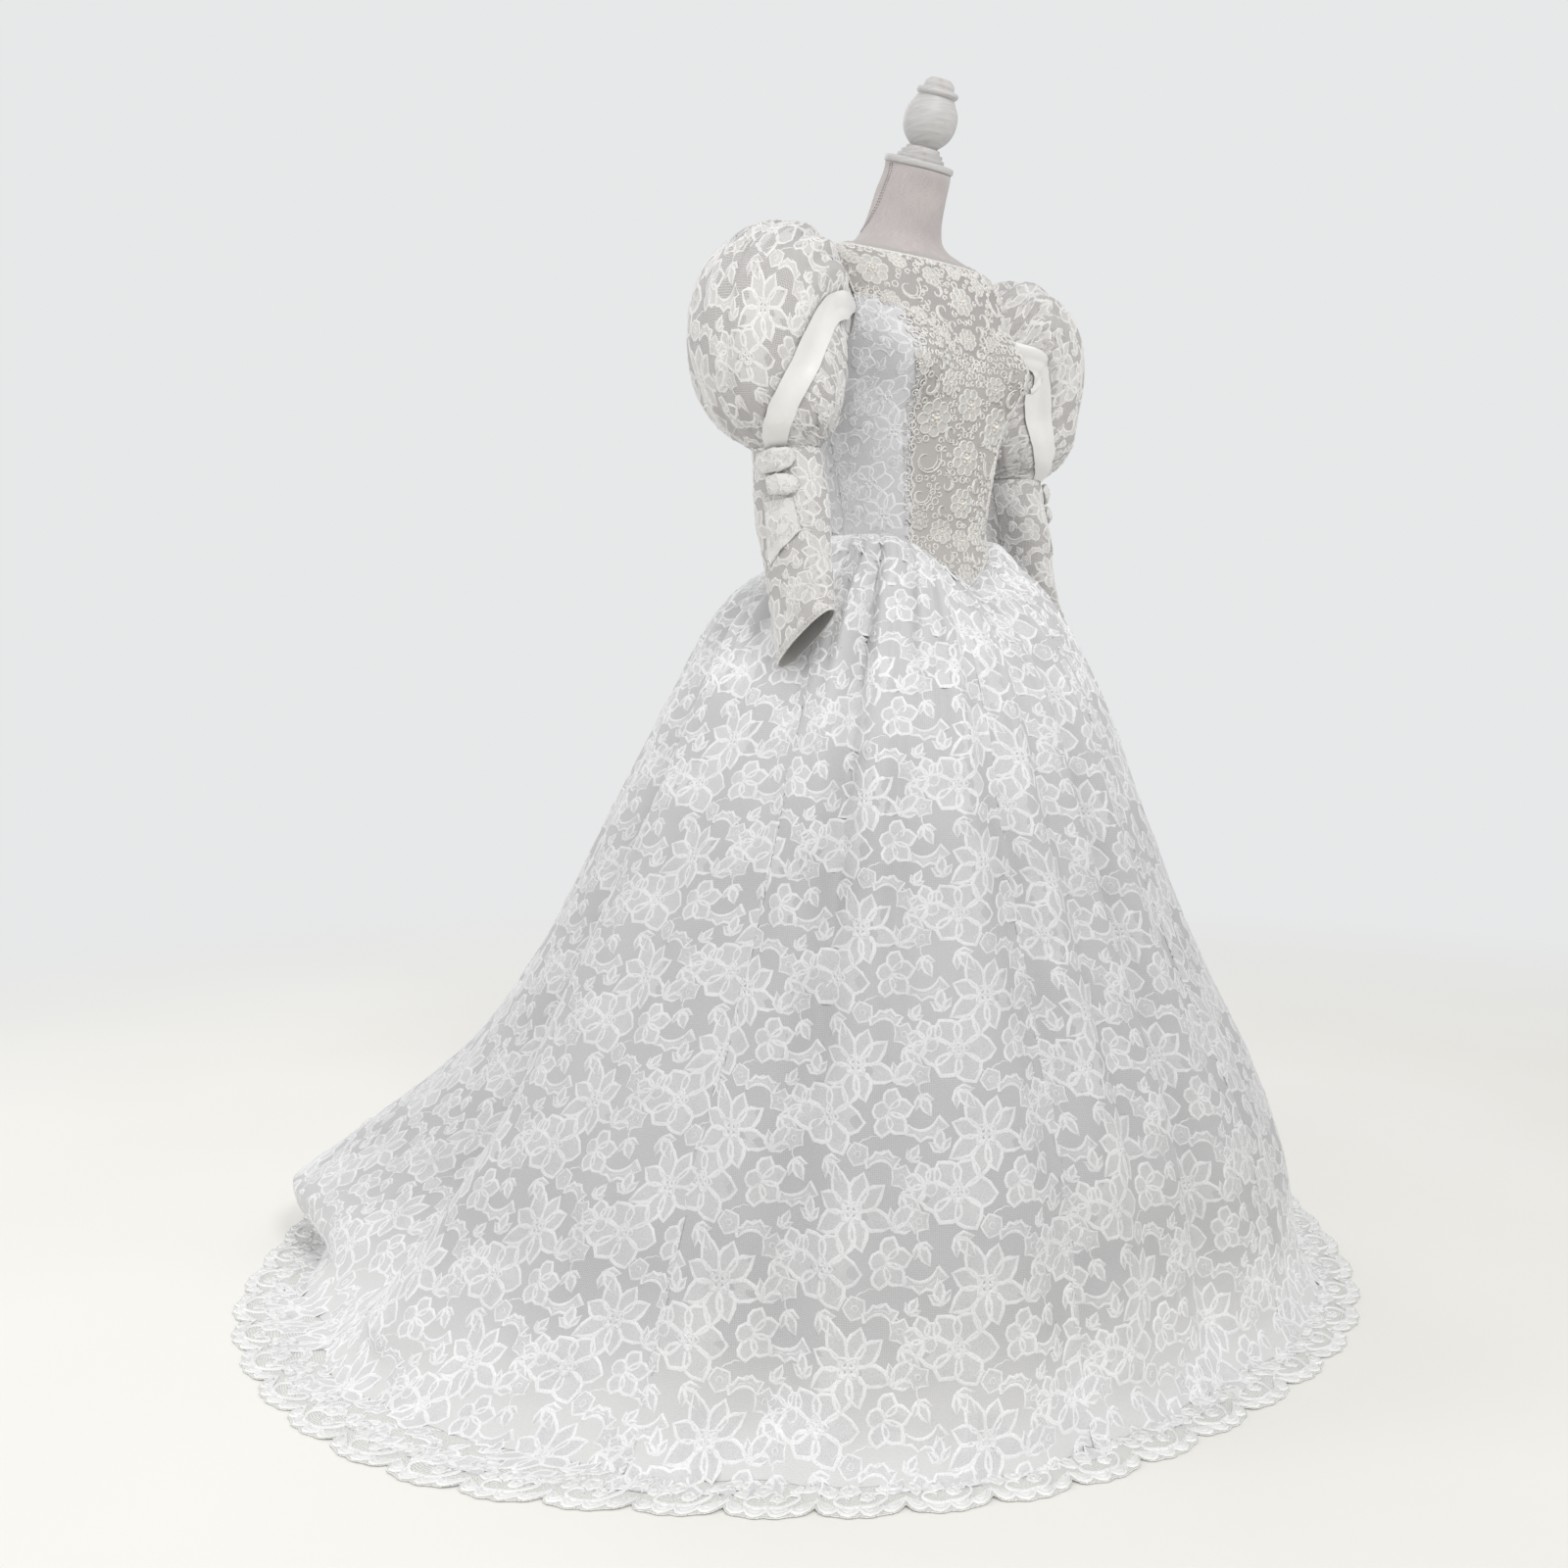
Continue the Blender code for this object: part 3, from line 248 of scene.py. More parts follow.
# Heavy lace by angle from the centre front and height: the rosettes' radius, the scrolls' radius and turn
APPLIQUE_FLOWERS = [
    (23.5, 1.206, 0.026), (0, 1.228, 0.023), (0, 1.156, 0.025), (0, 1.094, 0.021), (16, 1.054, 0.017),
    (0, 1.042, 0.016), (0, 0.996, 0.015), (41, 1.270, 0.017), (17, 1.254, 0.017), (32, 1.068, 0.013),
]
APPLIQUE_SCROLLS = [
    (31, 1.243, 0.015, 1.2), (27, 1.150, 0.024, 2.2), (31, 1.102, 0.017, 2.4), (13, 1.118, 0.014, 0.8),
    (12, 1.188, 0.014, 4.0), (15, 1.084, 0.012, 3.4), (13, 1.018, 0.012, 2.0), (27, 1.272, 0.012, 0.4),
]
YOKE_ROSETTES = [
    (0, 1.372, 0.021), (49, 1.404, 0.022), (0, 1.318, 0.016), (16, 1.402, 0.014), (33, 1.420, 0.013),
    (17, 1.318, 0.012), (31, 1.340, 0.013), (62, 1.422, 0.012), (72, 1.436, 0.010), (44, 1.362, 0.013),
    (0, 1.415, 0.012),
]
YOKE_SCROLLS = [
    (31, 1.380, 0.021, 2.2), (14, 1.352, 0.018, 3.6), (15, 1.380, 0.013, 0.6), (20, 1.424, 0.011, 1.6),
    (9, 1.334, 0.011, 4.4), (58, 1.380, 0.012, 2.4), (66, 1.402, 0.011, 1.0), (8, 1.299, 0.009, 0.8),
    (24, 1.336, 0.010, 1.4), (42, 1.428, 0.010, 0.6),
]
# The gap between the small loops of heavy lace
YOKE_LOOP_STEP = 0.0120
APPLIQUE_LOOP_STEP = 0.0118

# Rosettes on a back panel of the yoke: shares of its width and length, radius
BACK_ROSETTES = [
    (0.16, 0.20, 0.014), (0.34, 0.34, 0.019), (0.56, 0.20, 0.015), (0.76, 0.38, 0.020), (0.90, 0.18, 0.012),
    (0.52, 0.62, 0.016), (0.30, 0.72, 0.013), (0.74, 0.76, 0.014), (0.92, 0.66, 0.012),
]

# Turned wood: distance along the axis, radius
CAP_THICKNESS = 0.010
CAP = [
    (0.0, 0.0470), (0.0010, 0.0490), (0.0025, 0.0500), (0.0075, 0.0500), (0.0090, 0.0490), (0.0100, 0.0470),
]
FINIAL = [
    (0.0000, 0.034), (0.0060, 0.034), (0.0066, 0.030), (0.0120, 0.030), (0.0126, 0.0260), (0.0185, 0.0240),
    (0.0200, 0.0200), (0.0290, 0.0290), (0.0400, 0.0355), (0.0540, 0.0380), (0.0700, 0.0360),
    (0.0870, 0.0265),
    (0.0900, 0.0285), (0.0935, 0.0300), (0.0975, 0.0280), (0.0985, 0.0225), (0.1060, 0.0210),
    (0.1125, 0.0145),
]


# Curves and grids


def smooth_lookup(x, xs, ys):
    """A smooth curve through the points, flat at both ends. ys may hold a column for each point of x."""
    xs, ys = np.asarray(xs, float), np.asarray(ys, float)
    x = np.clip(np.asarray(x, float), xs[0], xs[-1])
    k = np.clip(np.searchsorted(xs, x, side="left") - 1, 0, len(xs) - 2)
    slopes = np.zeros_like(ys)
    gaps = xs[2:] - xs[:-2]
    slopes[1:-1] = (ys[2:] - ys[:-2]) / (gaps if ys.ndim == 1 else gaps[:, None])
    span = xs[k + 1] - xs[k]
    t = (x - xs[k]) / span
    if ys.ndim == 1:
        low, high, leave, arrive = ys[k], ys[k + 1], slopes[k], slopes[k + 1]
    else:
        column = np.arange(ys.shape[1])
        low, high, leave, arrive = ys[k, column], ys[k + 1, column], slopes[k, column], slopes[k + 1, column]
    return (
        (2 * t**3 - 3 * t**2 + 1) * low
        + (t**3 - 2 * t**2 + t) * span * leave
        + (3 * t**2 - 2 * t**3) * high
        + (t**3 - t**2) * span * arrive
    )


def bell(distance, half_width):
    """1 at the middle and nearly 0 past the half width."""
    return np.exp(-((distance / half_width) ** 2) * 2.0)


def turn_between(a, b):
    """The signed angle from b to a, between -180 and 180 degrees."""
    return (np.asarray(a, float) - b + 180.0) % 360.0 - 180.0


def sine(degrees):
    return np.sin(np.radians(degrees))


def cosine(degrees):
    return np.cos(np.radians(degrees))


def column_of(table, k):
    return [row[k] for row in table]


def unit(vectors):
    lengths = np.linalg.norm(vectors, axis=-1, keepdims=True)
    return vectors / np.maximum(lengths, 1e-12)


def polar(x, y, size, around):
    """Flat points at a distance and an angle, in radians, from a place."""
    return np.stack(np.broadcast_arrays(x + size * np.cos(around), y + size * np.sin(around)), axis=-1)


def moved(line, x, y, turn):
    """A flat line turned about the origin and then moved to a place."""
    c, s = math.cos(turn), math.sin(turn)
    return np.stack([x + line[:, 0] * c - line[:, 1] * s, y + line[:, 0] * s + line[:, 1] * c], axis=1)


def round_axis(radius, angle, z):
    """Points at a radius and an angle, in degrees, round the upright axis."""
    return np.stack(np.broadcast_arrays(radius * sine(angle), -radius * cosine(angle), z), axis=-1)


def grid_normals(points, closed, outside):
    """A unit normal at each point of a grid, on the side that the point called outside is on."""
    if closed:
        along = np.roll(points, -1, axis=1) - np.roll(points, 1, axis=1)
    else:
        along = np.gradient(points, axis=1)
    normals = unit(np.cross(along, np.gradient(points, axis=0)))
    rows, columns, _ = points.shape
    j, i = rows // 2, columns // 2
    if np.dot(normals[j, i], np.asarray(outside) - points[j, i]) < 0:
        normals = -normals
    return normals


def refine(values, count, closed):
    """A smooth curve through the values along the first axis, at this many even steps."""
    size = len(values)
    at = np.linspace(0, size if closed else size - 1, count, endpoint=not closed)
    k = np.minimum(at.astype(int), size - 1 if closed else size - 2)
    t = (at - k).reshape((-1,) + (1,) * (values.ndim - 1))

    def pick(offset):
        index = k + offset
        return values[index % size] if closed else values[np.clip(index, 0, size - 1)]

    before, here, there, after = pick(-1), pick(0), pick(1), pick(2)
    leave, arrive = (there - before) / 2, (after - here) / 2
    return (
        (2 * t**3 - 3 * t**2 + 1) * here
        + (t**3 - 2 * t**2 + t) * leave
        + (3 * t**2 - 2 * t**3) * there
        + (t**3 - t**2) * arrive
    )


def refine_tube(rings, rows, columns):
    """A smooth tube through the rings, with more rows and columns."""
    return np.swapaxes(refine(np.swapaxes(refine(rings, rows, False), 0, 1), columns, True), 0, 1)


def sample(grid, row, column, closed=False):
    """Values of a grid between its rows and columns."""
    rows, columns = grid.shape[:2]
    row = np.clip(row, 0, rows - 1)
    j = np.minimum(row.astype(int), rows - 2)
    i = np.floor(column).astype(int)
    if not closed:
        column = np.clip(column, 0, columns - 1)
        i = np.clip(i, 0, columns - 2)
    s, t = (row - j)[..., None], (column - i)[..., None]
    near, far = i % columns, (i + 1) % columns
    return (
        grid[j, near] * (1 - s) * (1 - t)
        + grid[j, far] * (1 - s) * t
        + grid[j + 1, near] * s * (1 - t)
        + grid[j + 1, far] * s * t
    )


# Meshes


def new_object(name, points, faces, materials, finish=None, uv=None):
    mesh = bpy.data.meshes.new(name)
    faces = np.asarray(faces, np.int32)
    count, sides = faces.shape
    mesh.vertices.add(len(points))
    mesh.vertices.foreach_set("co", np.asarray(points, np.float32).ravel())
    mesh.loops.add(count * sides)
    mesh.loops.foreach_set("vertex_index", faces.ravel())
    mesh.polygons.add(count)
    mesh.polygons.foreach_set("loop_start", np.arange(0, count * sides, sides, dtype=np.int32))
    for each in materials:
        mesh.materials.append(each)
    if finish is not None:
        mesh.polygons.foreach_set("material_index", np.asarray(finish, np.int32))
    mesh.update(calc_edges=True)
    if uv is not None:
        layer = mesh.uv_layers.new(name="flat")
        layer.data.foreach_set("uv", np.asarray(uv, np.float32)[faces.ravel()].ravel())
    mesh.shade_smooth()
    made = bpy.data.objects.new(name, mesh)
    bpy.context.scene.collection.objects.link(made)
    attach(made, "root")
    return made


def grid_quads(rows, columns, closed):
    j, i = np.meshgrid(np.arange(rows - 1), np.arange(columns if closed else columns - 1), indexing="ij")
    k = (i + 1) % columns
    low, high = j * columns, (j + 1) * columns
    quads = np.stack([low + i, low + k, high + k, high + i], axis=-1)
    return quads.reshape(-1, 4)


def quads_between(low, low_next, high, high_next):
    """Two triangles for each step between two rows of points."""
    halves = [np.stack(corners, axis=1) for corners in ((low, low_next, high_next), (low, high_next, high))]
    return np.concatenate(halves)


def lace_object(name, lace, materials):
    points, faces, finish = lace
    return new_object(name, points, faces, materials, finish)


class Cloth:
    """A fine grid of points with lengths along the cloth: u from the middle column and v from the top."""

    STEP = 0.004

    def __init__(self, points, outside, closed=False):
        self.points, self.closed = points, closed
        self.normals = grid_normals(points, closed, outside)
        rows, columns = points.shape[:2]
        looped = np.concatenate([points, points[:, :1]], axis=1) if closed else points
        middle = columns // 2
        across = np.concatenate([np.zeros((rows, 1)), self.lengths(looped, 1).cumsum(axis=1)], axis=1)
        self.across = across - across[:, middle : middle + 1]
        steps = self.lengths(points, 0)
        steps = steps.mean(axis=1) if closed else steps[:, middle]
        self.down = np.concatenate([[0.0], steps.cumsum()])
        low, high = self.across.min(), self.across.max()
        self.us = np.arange(low, high + self.STEP, self.STEP)
        columns_at = np.arange(self.across.shape[1])
        self.table = np.array([np.interp(self.us, row, columns_at) for row in self.across])

    @staticmethod
    def lengths(points, axis):
        return np.linalg.norm(np.diff(points, axis=axis), axis=2)

    def uv(self):
        rows, columns = self.points.shape[:2]
        down = np.repeat(self.down[:, None], columns, axis=1)
        return np.stack([self.across[:, :columns], down], axis=2).reshape(-1, 2)

    def at(self, row, column):
        """The u and v of places given by row and column."""
        row, column = np.asarray(row, float), np.asarray(column, float)
        u = sample(self.across[..., None], row, column)[..., 0]
        return u, np.interp(row, np.arange(len(self.down)), self.down)

    def lay(self, flat, base=0.0, keep=None):
        """Points on the cloth for rows of u, v and height, and whether each is within its edges.

        keep says, for rows and columns, which places count as within them.
        """
        u, v, height = flat[:, 0], flat[:, 1], flat[:, 2]
        row = np.interp(v, self.down, np.arange(len(self.down)))
        left = np.interp(row, np.arange(len(self.down)), self.across[:, 0])
        right = np.interp(row, np.arange(len(self.down)), self.across[:, -1])
        inside = (u > left) & (u < right) & (v > 0) & (v < self.down[-1])
        place = (np.clip(u, left, right) - self.us[0]) / self.STEP
        column = sample(self.table[..., None], row, place)[..., 0]
        if keep is not None:
            inside &= keep(row, column)
        point = sample(self.points, row, column, self.closed)
        normal = unit(sample(self.normals, row, column, self.closed))
        return point + normal * (height + base)[:, None], inside

    def make(self, name, paint, thickness=CLOTH):
        """The cloth as an object with this thickness, built inwards."""
        rows, columns = self.points.shape[:2]
        quads = grid_quads(rows, columns, self.closed)
        made = new_object(name, self.points.reshape(-1, 3), quads, [PAINTS[paint]], uv=self.uv())
        first = made.data.polygons[len(made.data.polygons) // 2]
        i = first.vertices[0]
        if np.dot(np.array(first.normal), self.normals.reshape(-1, 3)[i]) < 0:
            made.data.flip_normals()
        self.sharpen_rim(made.data, rows, columns)
        wall = made.modifiers.new("wall", "SOLIDIFY")
        wall.thickness = thickness
        wall.offset = -1.0
        return made

    def sharpen_rim(self, mesh, rows, columns):
        """Marks the cloth's edges sharp, so that its thickness doesn't shade its face."""
        ends = np.empty(len(mesh.edges) * 2, np.int32)
        mesh.edges.foreach_get("vertices", ends)
        row, column = ends.reshape(-1, 2) // columns, ends.reshape(-1, 2) % columns
        rim = (row == 0).all(axis=1) | (row == rows - 1).all(axis=1)
        if not self.closed:
            rim |= (column == 0).all(axis=1) | (column == columns - 1).all(axis=1)
        mesh.attributes.new("sharp_edge", "BOOLEAN", "EDGE").data.foreach_set("value", rim)


# Flat lace drawing


class Lace:
    """Lace drawn flat: cords that stand up from the net, and thin fills inside them."""

    CORD, FILL, BEAD = 0, 1, 2
    SINK = 0.0002
    BEAD_RINGS = ((1.0, 0.0), (0.94, 0.55), (0.55, 0.95))

    def __init__(self):
        self.points, self.faces, self.finish = [], [], []
        self.count = 0

    def add(self, points, faces, finish):
        self.points.append(np.asarray(points, float))
        self.faces.append(np.asarray(faces, int) + self.count)
        self.finish.append(np.full(len(faces), finish))
        self.count += len(points)

    def cord(self, line, width, height, closed=False, taper=False):
        """A ridge along a line: its edges lie in the cloth and its middle stands up."""
        line = np.asarray(line, float)
        count = len(line)
        along = np.roll(line, -1, axis=0) - np.roll(line, 1, axis=0) if closed else np.gradient(line, axis=0)
        size = np.sin(np.pi * np.linspace(0.06, 0.94, count)) ** 0.6 if taper else np.ones(count)
        half = unit(np.stack([-along[:, 1], along[:, 0]], axis=1)) * (width / 2 * size)[:, None]
        low = np.full(count, -self.SINK)
        rows = [(line + half, low), (line, height * size), (line - half, low)]
        i = np.arange(count if closed else count - 1)
        k = (i + 1) % count
        faces = [quads_between(a + i, a + k, a + count + i, a + count + k) for a in (0, count)]
        self.add(np.concatenate([np.column_stack(row) for row in rows]), np.concatenate(faces), self.CORD)

    def fill(self, outline, height, rise):
        """A thin skin inside a closed outline, a little higher in the middle."""
        outline = np.asarray(outline, float)
        count = len(outline)
        ring = np.column_stack([outline, np.full(count, height)])
        i = np.arange(count)
        faces = np.stack([i, (i + 1) % count, np.full(count, count)], axis=1)
        self.add(np.concatenate([ring, [[*outline.mean(axis=0), height + rise]]]), faces, self.FILL)

    def corded(self, outline, height, rise, width, ridge):
        """A fill with a cord round it."""
        self.fill(outline, height, rise)
        self.cord(outline, width, ridge, closed=True)

    def strip(self, first, second, height):
        """A thin skin between two lines with as many points."""
        count = len(first)
        points = np.column_stack([np.concatenate([first, second]), np.full(2 * count, height)])
        i = np.arange(count - 1)
        self.add(points, quads_between(i, i + 1, count + i, count + i + 1), self.FILL)

    def bead(self, x, y, radius, squash=0.8, sides=7):
        """A small bead: a low dome that sits on the lace."""
        turn = np.arange(sides) * 2 * np.pi / sides
        high = radius * 2 * squash
        rings = [np.column_stack([polar(x, y, radius * share, turn), np.full(sides, high * rise)])
                 for share, rise in self.BEAD_RINGS]
        i = np.arange(sides)
        k = (i + 1) % sides
        faces = [quads_between(a + i, a + k, a + sides + i, a + sides + k) for a in (0, sides)]
        faces.append(np.stack([2 * sides + i, 2 * sides + k, np.full(sides, 3 * sides)], axis=1))
        self.add(np.concatenate(rings + [[[x, y, high]]]), np.concatenate(faces), self.BEAD)

    def merged(self):
        return np.concatenate(self.points), np.concatenate(self.faces), np.concatenate(self.finish)


def petal_outline(base, length, width, turn, steps, point, bend=0.0):
    """A closed petal from its base outwards. Point sharpens the tip and bend leans it sideways."""
    share = np.linspace(0, 1, steps // 2 + 1)
    half = width / 2 * np.sin(np.pi * share**1.15) ** 0.62 * (1 - point * share**3)
    half[0], half[-1] = width * 0.08, 0.0
    along = length * (share + 0.10 * point * share**6) / (1 + 0.10 * point)
    lean = bend * length * share**2
    out = np.stack([along, half + lean], axis=1)
    back = np.stack([along[-2::-1], -half[-2::-1] + lean[-2::-1]], axis=1)
    return moved(np.concatenate([out, back]), *base, turn)


def ring_outline(x, y, radius, count, wave=0.0, lobes=0, turn=0.0):
    """A ring, waved where it has lobes."""
    around = np.arange(count) * 2 * np.pi / count
    return polar(x, y, radius * (1 + wave * np.cos(lobes * (around + turn))), around)


def scroll_line(x, y, radius, turn, sweep, shrink, steps):
    """A spiral arc that starts at full radius and curls in."""
    share = np.linspace(0, 1, steps)
    return polar(x, y, radius * (1 - (1 - shrink) * share), turn + sweep * share)


def draw_flower(lace, x, y, radius, petals, turn, width, point, steps, cord=0.0054):
    """A large flower of petals, with a few small petals curled over its middle."""
    for k in range(petals):
        around = turn + 2 * math.pi * k / petals + 0.09 * math.sin(2.3 * k + turn)
        size = radius * (1.0 + 0.14 * math.cos(2.4 * k + turn))
        base = polar(x, y, 0.16 * radius, around)
        outline = petal_outline(base, size * 0.84, width, around, steps, point, 0.16 * math.sin(1.7 * k))
        lace.corded(outline, 0.00025, 0.0005, cord * (1 + 0.15 * math.sin(k)), 0.0012)
    for k in range(4):
        around = turn + 0.5 + 2 * math.pi * k / 4
        outline = petal_outline((x, y), radius * 0.32, radius * 0.24, around, 6, 0.2)
        lace.cord(outline, cord * 0.75, 0.0019, closed=True)


def draw_cluster(lace, x, y, radius, turn, cord=0.0050):
    """A half open flower: round petals in a fan with a cupped middle."""
    for off, size in ((-1.30, 0.85), (-0.45, 1.05), (0.45, 1.05), (1.30, 0.85)):
        base = polar(x, y, 0.12 * radius, turn + off)
        outline = petal_outline(base, radius * size * 0.90, radius * 0.72, turn + off, 8, 0.25, 0.1 * off)
        lace.corded(outline, 0.00025, 0.0005, cord, 0.0012)
    cup = ring_outline(*polar(x, y, -0.18 * radius, turn), radius * 0.30, 8)
    lace.corded(cup, 0.0008, 0.0006, cord * 0.9, 0.0017)


def draw_daisy(lace, x, y, radius, turn, cord=0.0032):
    """A small round flower with a ring at its middle."""
    lace.corded(ring_outline(x, y, radius, 10, 0.20, 5, turn), 0.0003, 0.0005, cord, 0.0011)
    lace.cord(ring_outline(x, y, radius * 0.30, 6), cord * 0.9, 0.0017, closed=True)


def draw_wing(lace, x, y, size, turn, flip, cord=0.0046):
    """A scrolled leaf: a curved rib with a lobed edge on its outer side."""
    share = np.linspace(0, 1, 9)
    around = -1.0 + 2.2 * share
    rib = polar(0, 0, size * 0.55, around)
    lobes = size * (0.84 + 0.14 * np.abs(np.sin(share * np.pi * 4))) * (1 - 0.20 * share)
    edge = polar(0, 0, lobes, around)
    edge[0], edge[-1] = rib[0], rib[-1]
    vein = (rib * 0.60 + edge * 0.40)[1:-1:2]
    rib, edge, vein = [moved(line * [1, flip] - [size * 0.6, 0], x, y, turn) for line in (rib, edge, vein)]
    lace.strip(rib, edge, 0.0004)
    lace.cord(rib, cord, 0.0014, taper=True)
    lace.cord(edge, cord, 0.0012)
    lace.cord(vein, cord * 0.5, 0.0008, taper=True)


def draw_leaf(lace, x, y, length, turn, cord=0.0044):
    """A leaf of three pointed parts on one stem."""
    for off, size, steps in ((0.0, 1.0, 6), (0.8, 0.65, 4), (-0.8, 0.65, 4)):
        outline = petal_outline((x, y), length * size, length * size * 0.50, turn + off, steps, 0.6, 0.15)
        lace.corded(outline, 0.00025, 0.0004, cord, 0.0011)


def draw_sprig(lace, start, end, bend, cord=0.0020):
    """A thin wavy stem between two motifs."""
    start, end = np.array(start), np.array(end)
    share = np.linspace(0, 1, 7)[:, None]
    along = end - start
    side = np.array([-along[1], along[0]])
    line = start + along * share + side * bend * np.sin(np.pi * share)
    line = line + side * 0.05 * np.sin(4 * np.pi * share)
    lace.cord(line, cord, 0.0008, taper=True)


# The skirt lace repeats over this flat tile, with each column of tiles half a tile lower: width, height
TILE = (0.150, 0.156)
TILE_FLOWERS = [
    # x, y, radius, petals, turn, petal width, how pointed, steps
    (0.062, 0.046, 0.045, 8, 0.3, 0.023, 0.55, 8),
    (0.030, 0.106, 0.040, 6, 1.0, 0.032, 0.30, 10),
]
TILE_CLUSTERS = [
    # x, y, radius, turn
    (0.098, 0.098, 0.030, 0.3), (0.146, 0.020, 0.024, 3.9),
]
TILE_DAISIES = [
    (0.118, 0.012, 0.0115, 0.1), (0.137, 0.056, 0.0110, 0.7), (0.068, 0.142, 0.0115, 0.4),
]
TILE_WINGS = [
    # x, y, size, turn, which way it bends
    (0.146, 0.118, 0.036, 1.2, 1), (0.096, 0.148, 0.030, 4.9, -1),
]
TILE_LEAVES = [
    # x, y, length, turn
    (0.110, 0.066, 0.034, 5.2), (0.028, 0.152, 0.030, 0.6), (0.137, 0.080, 0.024, 0.9),
    (0.128, 0.150, 0.018, 5.0), (0.118, 0.030, 0.026, 0.5), (0.012, 0.062, 0.026, 4.4),
]
TILE_SPRIGS = [
    ((0.118, 0.012), (0.076, -0.012), 0.3), ((0.137, 0.056), (0.112, 0.046), -0.3),
    ((0.137, 0.056), (0.150, 0.082), 0.3),
    ((0.068, 0.142), (0.044, 0.138), 0.4), ((0.068, 0.142), (0.090, 0.124), -0.3),
]


def draw_tile(fine=True):
    """The repeat of the floral lace. The plainer one is for gores that the picture does not show."""
    lace = Lace()
    for *flower, steps in TILE_FLOWERS:
        draw_flower(lace, *flower, steps if fine else 6)
    motifs = (
        (draw_cluster, TILE_CLUSTERS), (draw_daisy, TILE_DAISIES), (draw_wing, TILE_WINGS),
        (draw_leaf, TILE_LEAVES), (draw_sprig, TILE_SPRIGS),
    )
    for draw, table in motifs:
        for row in table:
            draw(lace, *row)
    return lace.merged()


# Twice the area, in square metres, under which a triangle of lace is left out as a sliver
LEAST_DOUBLE_AREA = 4e-8


def lies_well(cloth, flat, laid, faces, base, keep):
    """Whether each triangle is more than a sliver and faces the way it was drawn, not folded at an edge."""
    lifted = cloth.lay(flat + [0, 0, 0.001], base, keep)[0] - laid
    a, b, c = (flat[faces[:, i]] for i in range(3))
    drawn = (b[:, 0] - a[:, 0]) * (c[:, 1] - a[:, 1]) - (b[:, 1] - a[:, 1]) * (c[:, 0] - a[:, 0])
    a, b, c = (laid[faces[:, i]] for i in range(3))
    across = np.cross(b - a, c - a)
    way = drawn * (across * lifted[faces[:, 0]]).sum(axis=1)
    return (np.linalg.norm(across, axis=1) > LEAST_DOUBLE_AREA) & (way * np.sign(way.sum()) > 0)


def cut_off(laid, faces, finish, kept):
    """The kept triangles of some lace, with only the points that they use."""
    used, order = np.unique(faces[kept], return_inverse=True)
    return laid[used], order.reshape(-1, 3), finish[kept]


def lay_lace(cloth, lace, base=0.0, keep=None):
    """One drawing of lace laid on a cloth, cut off at the cloth's edges."""
    points, faces, finish = lace
    laid, inside = cloth.lay(points, base, keep)
    kept = inside[faces].any(axis=1) if keep is None else inside[faces].all(axis=1)
    kept &= lies_well(cloth, points, laid, faces, base, keep)
    return cut_off(laid, faces, finish, kept)


def repeat_tile(cloth, tile, scale, shift, keep=None):
    """The tile's lace over a whole cloth, cut off at the cloth's edges."""
    points, faces, finish = tile
    width, height = TILE[0] * scale, TILE[1] * scale
    low, high = cloth.across.min(), cloth.across.max()
    all_points, all_faces, all_finish = [], [], []
    count = 0
    for column in range(math.floor(low / width) - 2, math.ceil(high / width) + 2):
        for row in range(-2, math.ceil(cloth.down[-1] / height) + 2):
            x = column * width + shift[0] % width
            y = (row + 0.5 * (column % 2)) * height + shift[1] % height
            flat = points * [scale, scale, 1.0] + [x, y, 0.0]
            part, part_faces, part_finish = lay_lace(cloth, (flat, faces, finish), 0.0, keep)
            all_points.append(part)
            all_faces.append(part_faces + count)
            all_finish.append(part_finish)
            count += len(part)
    return np.concatenate(all_points), np.concatenate(all_faces), np.concatenate(all_finish)


# Materials


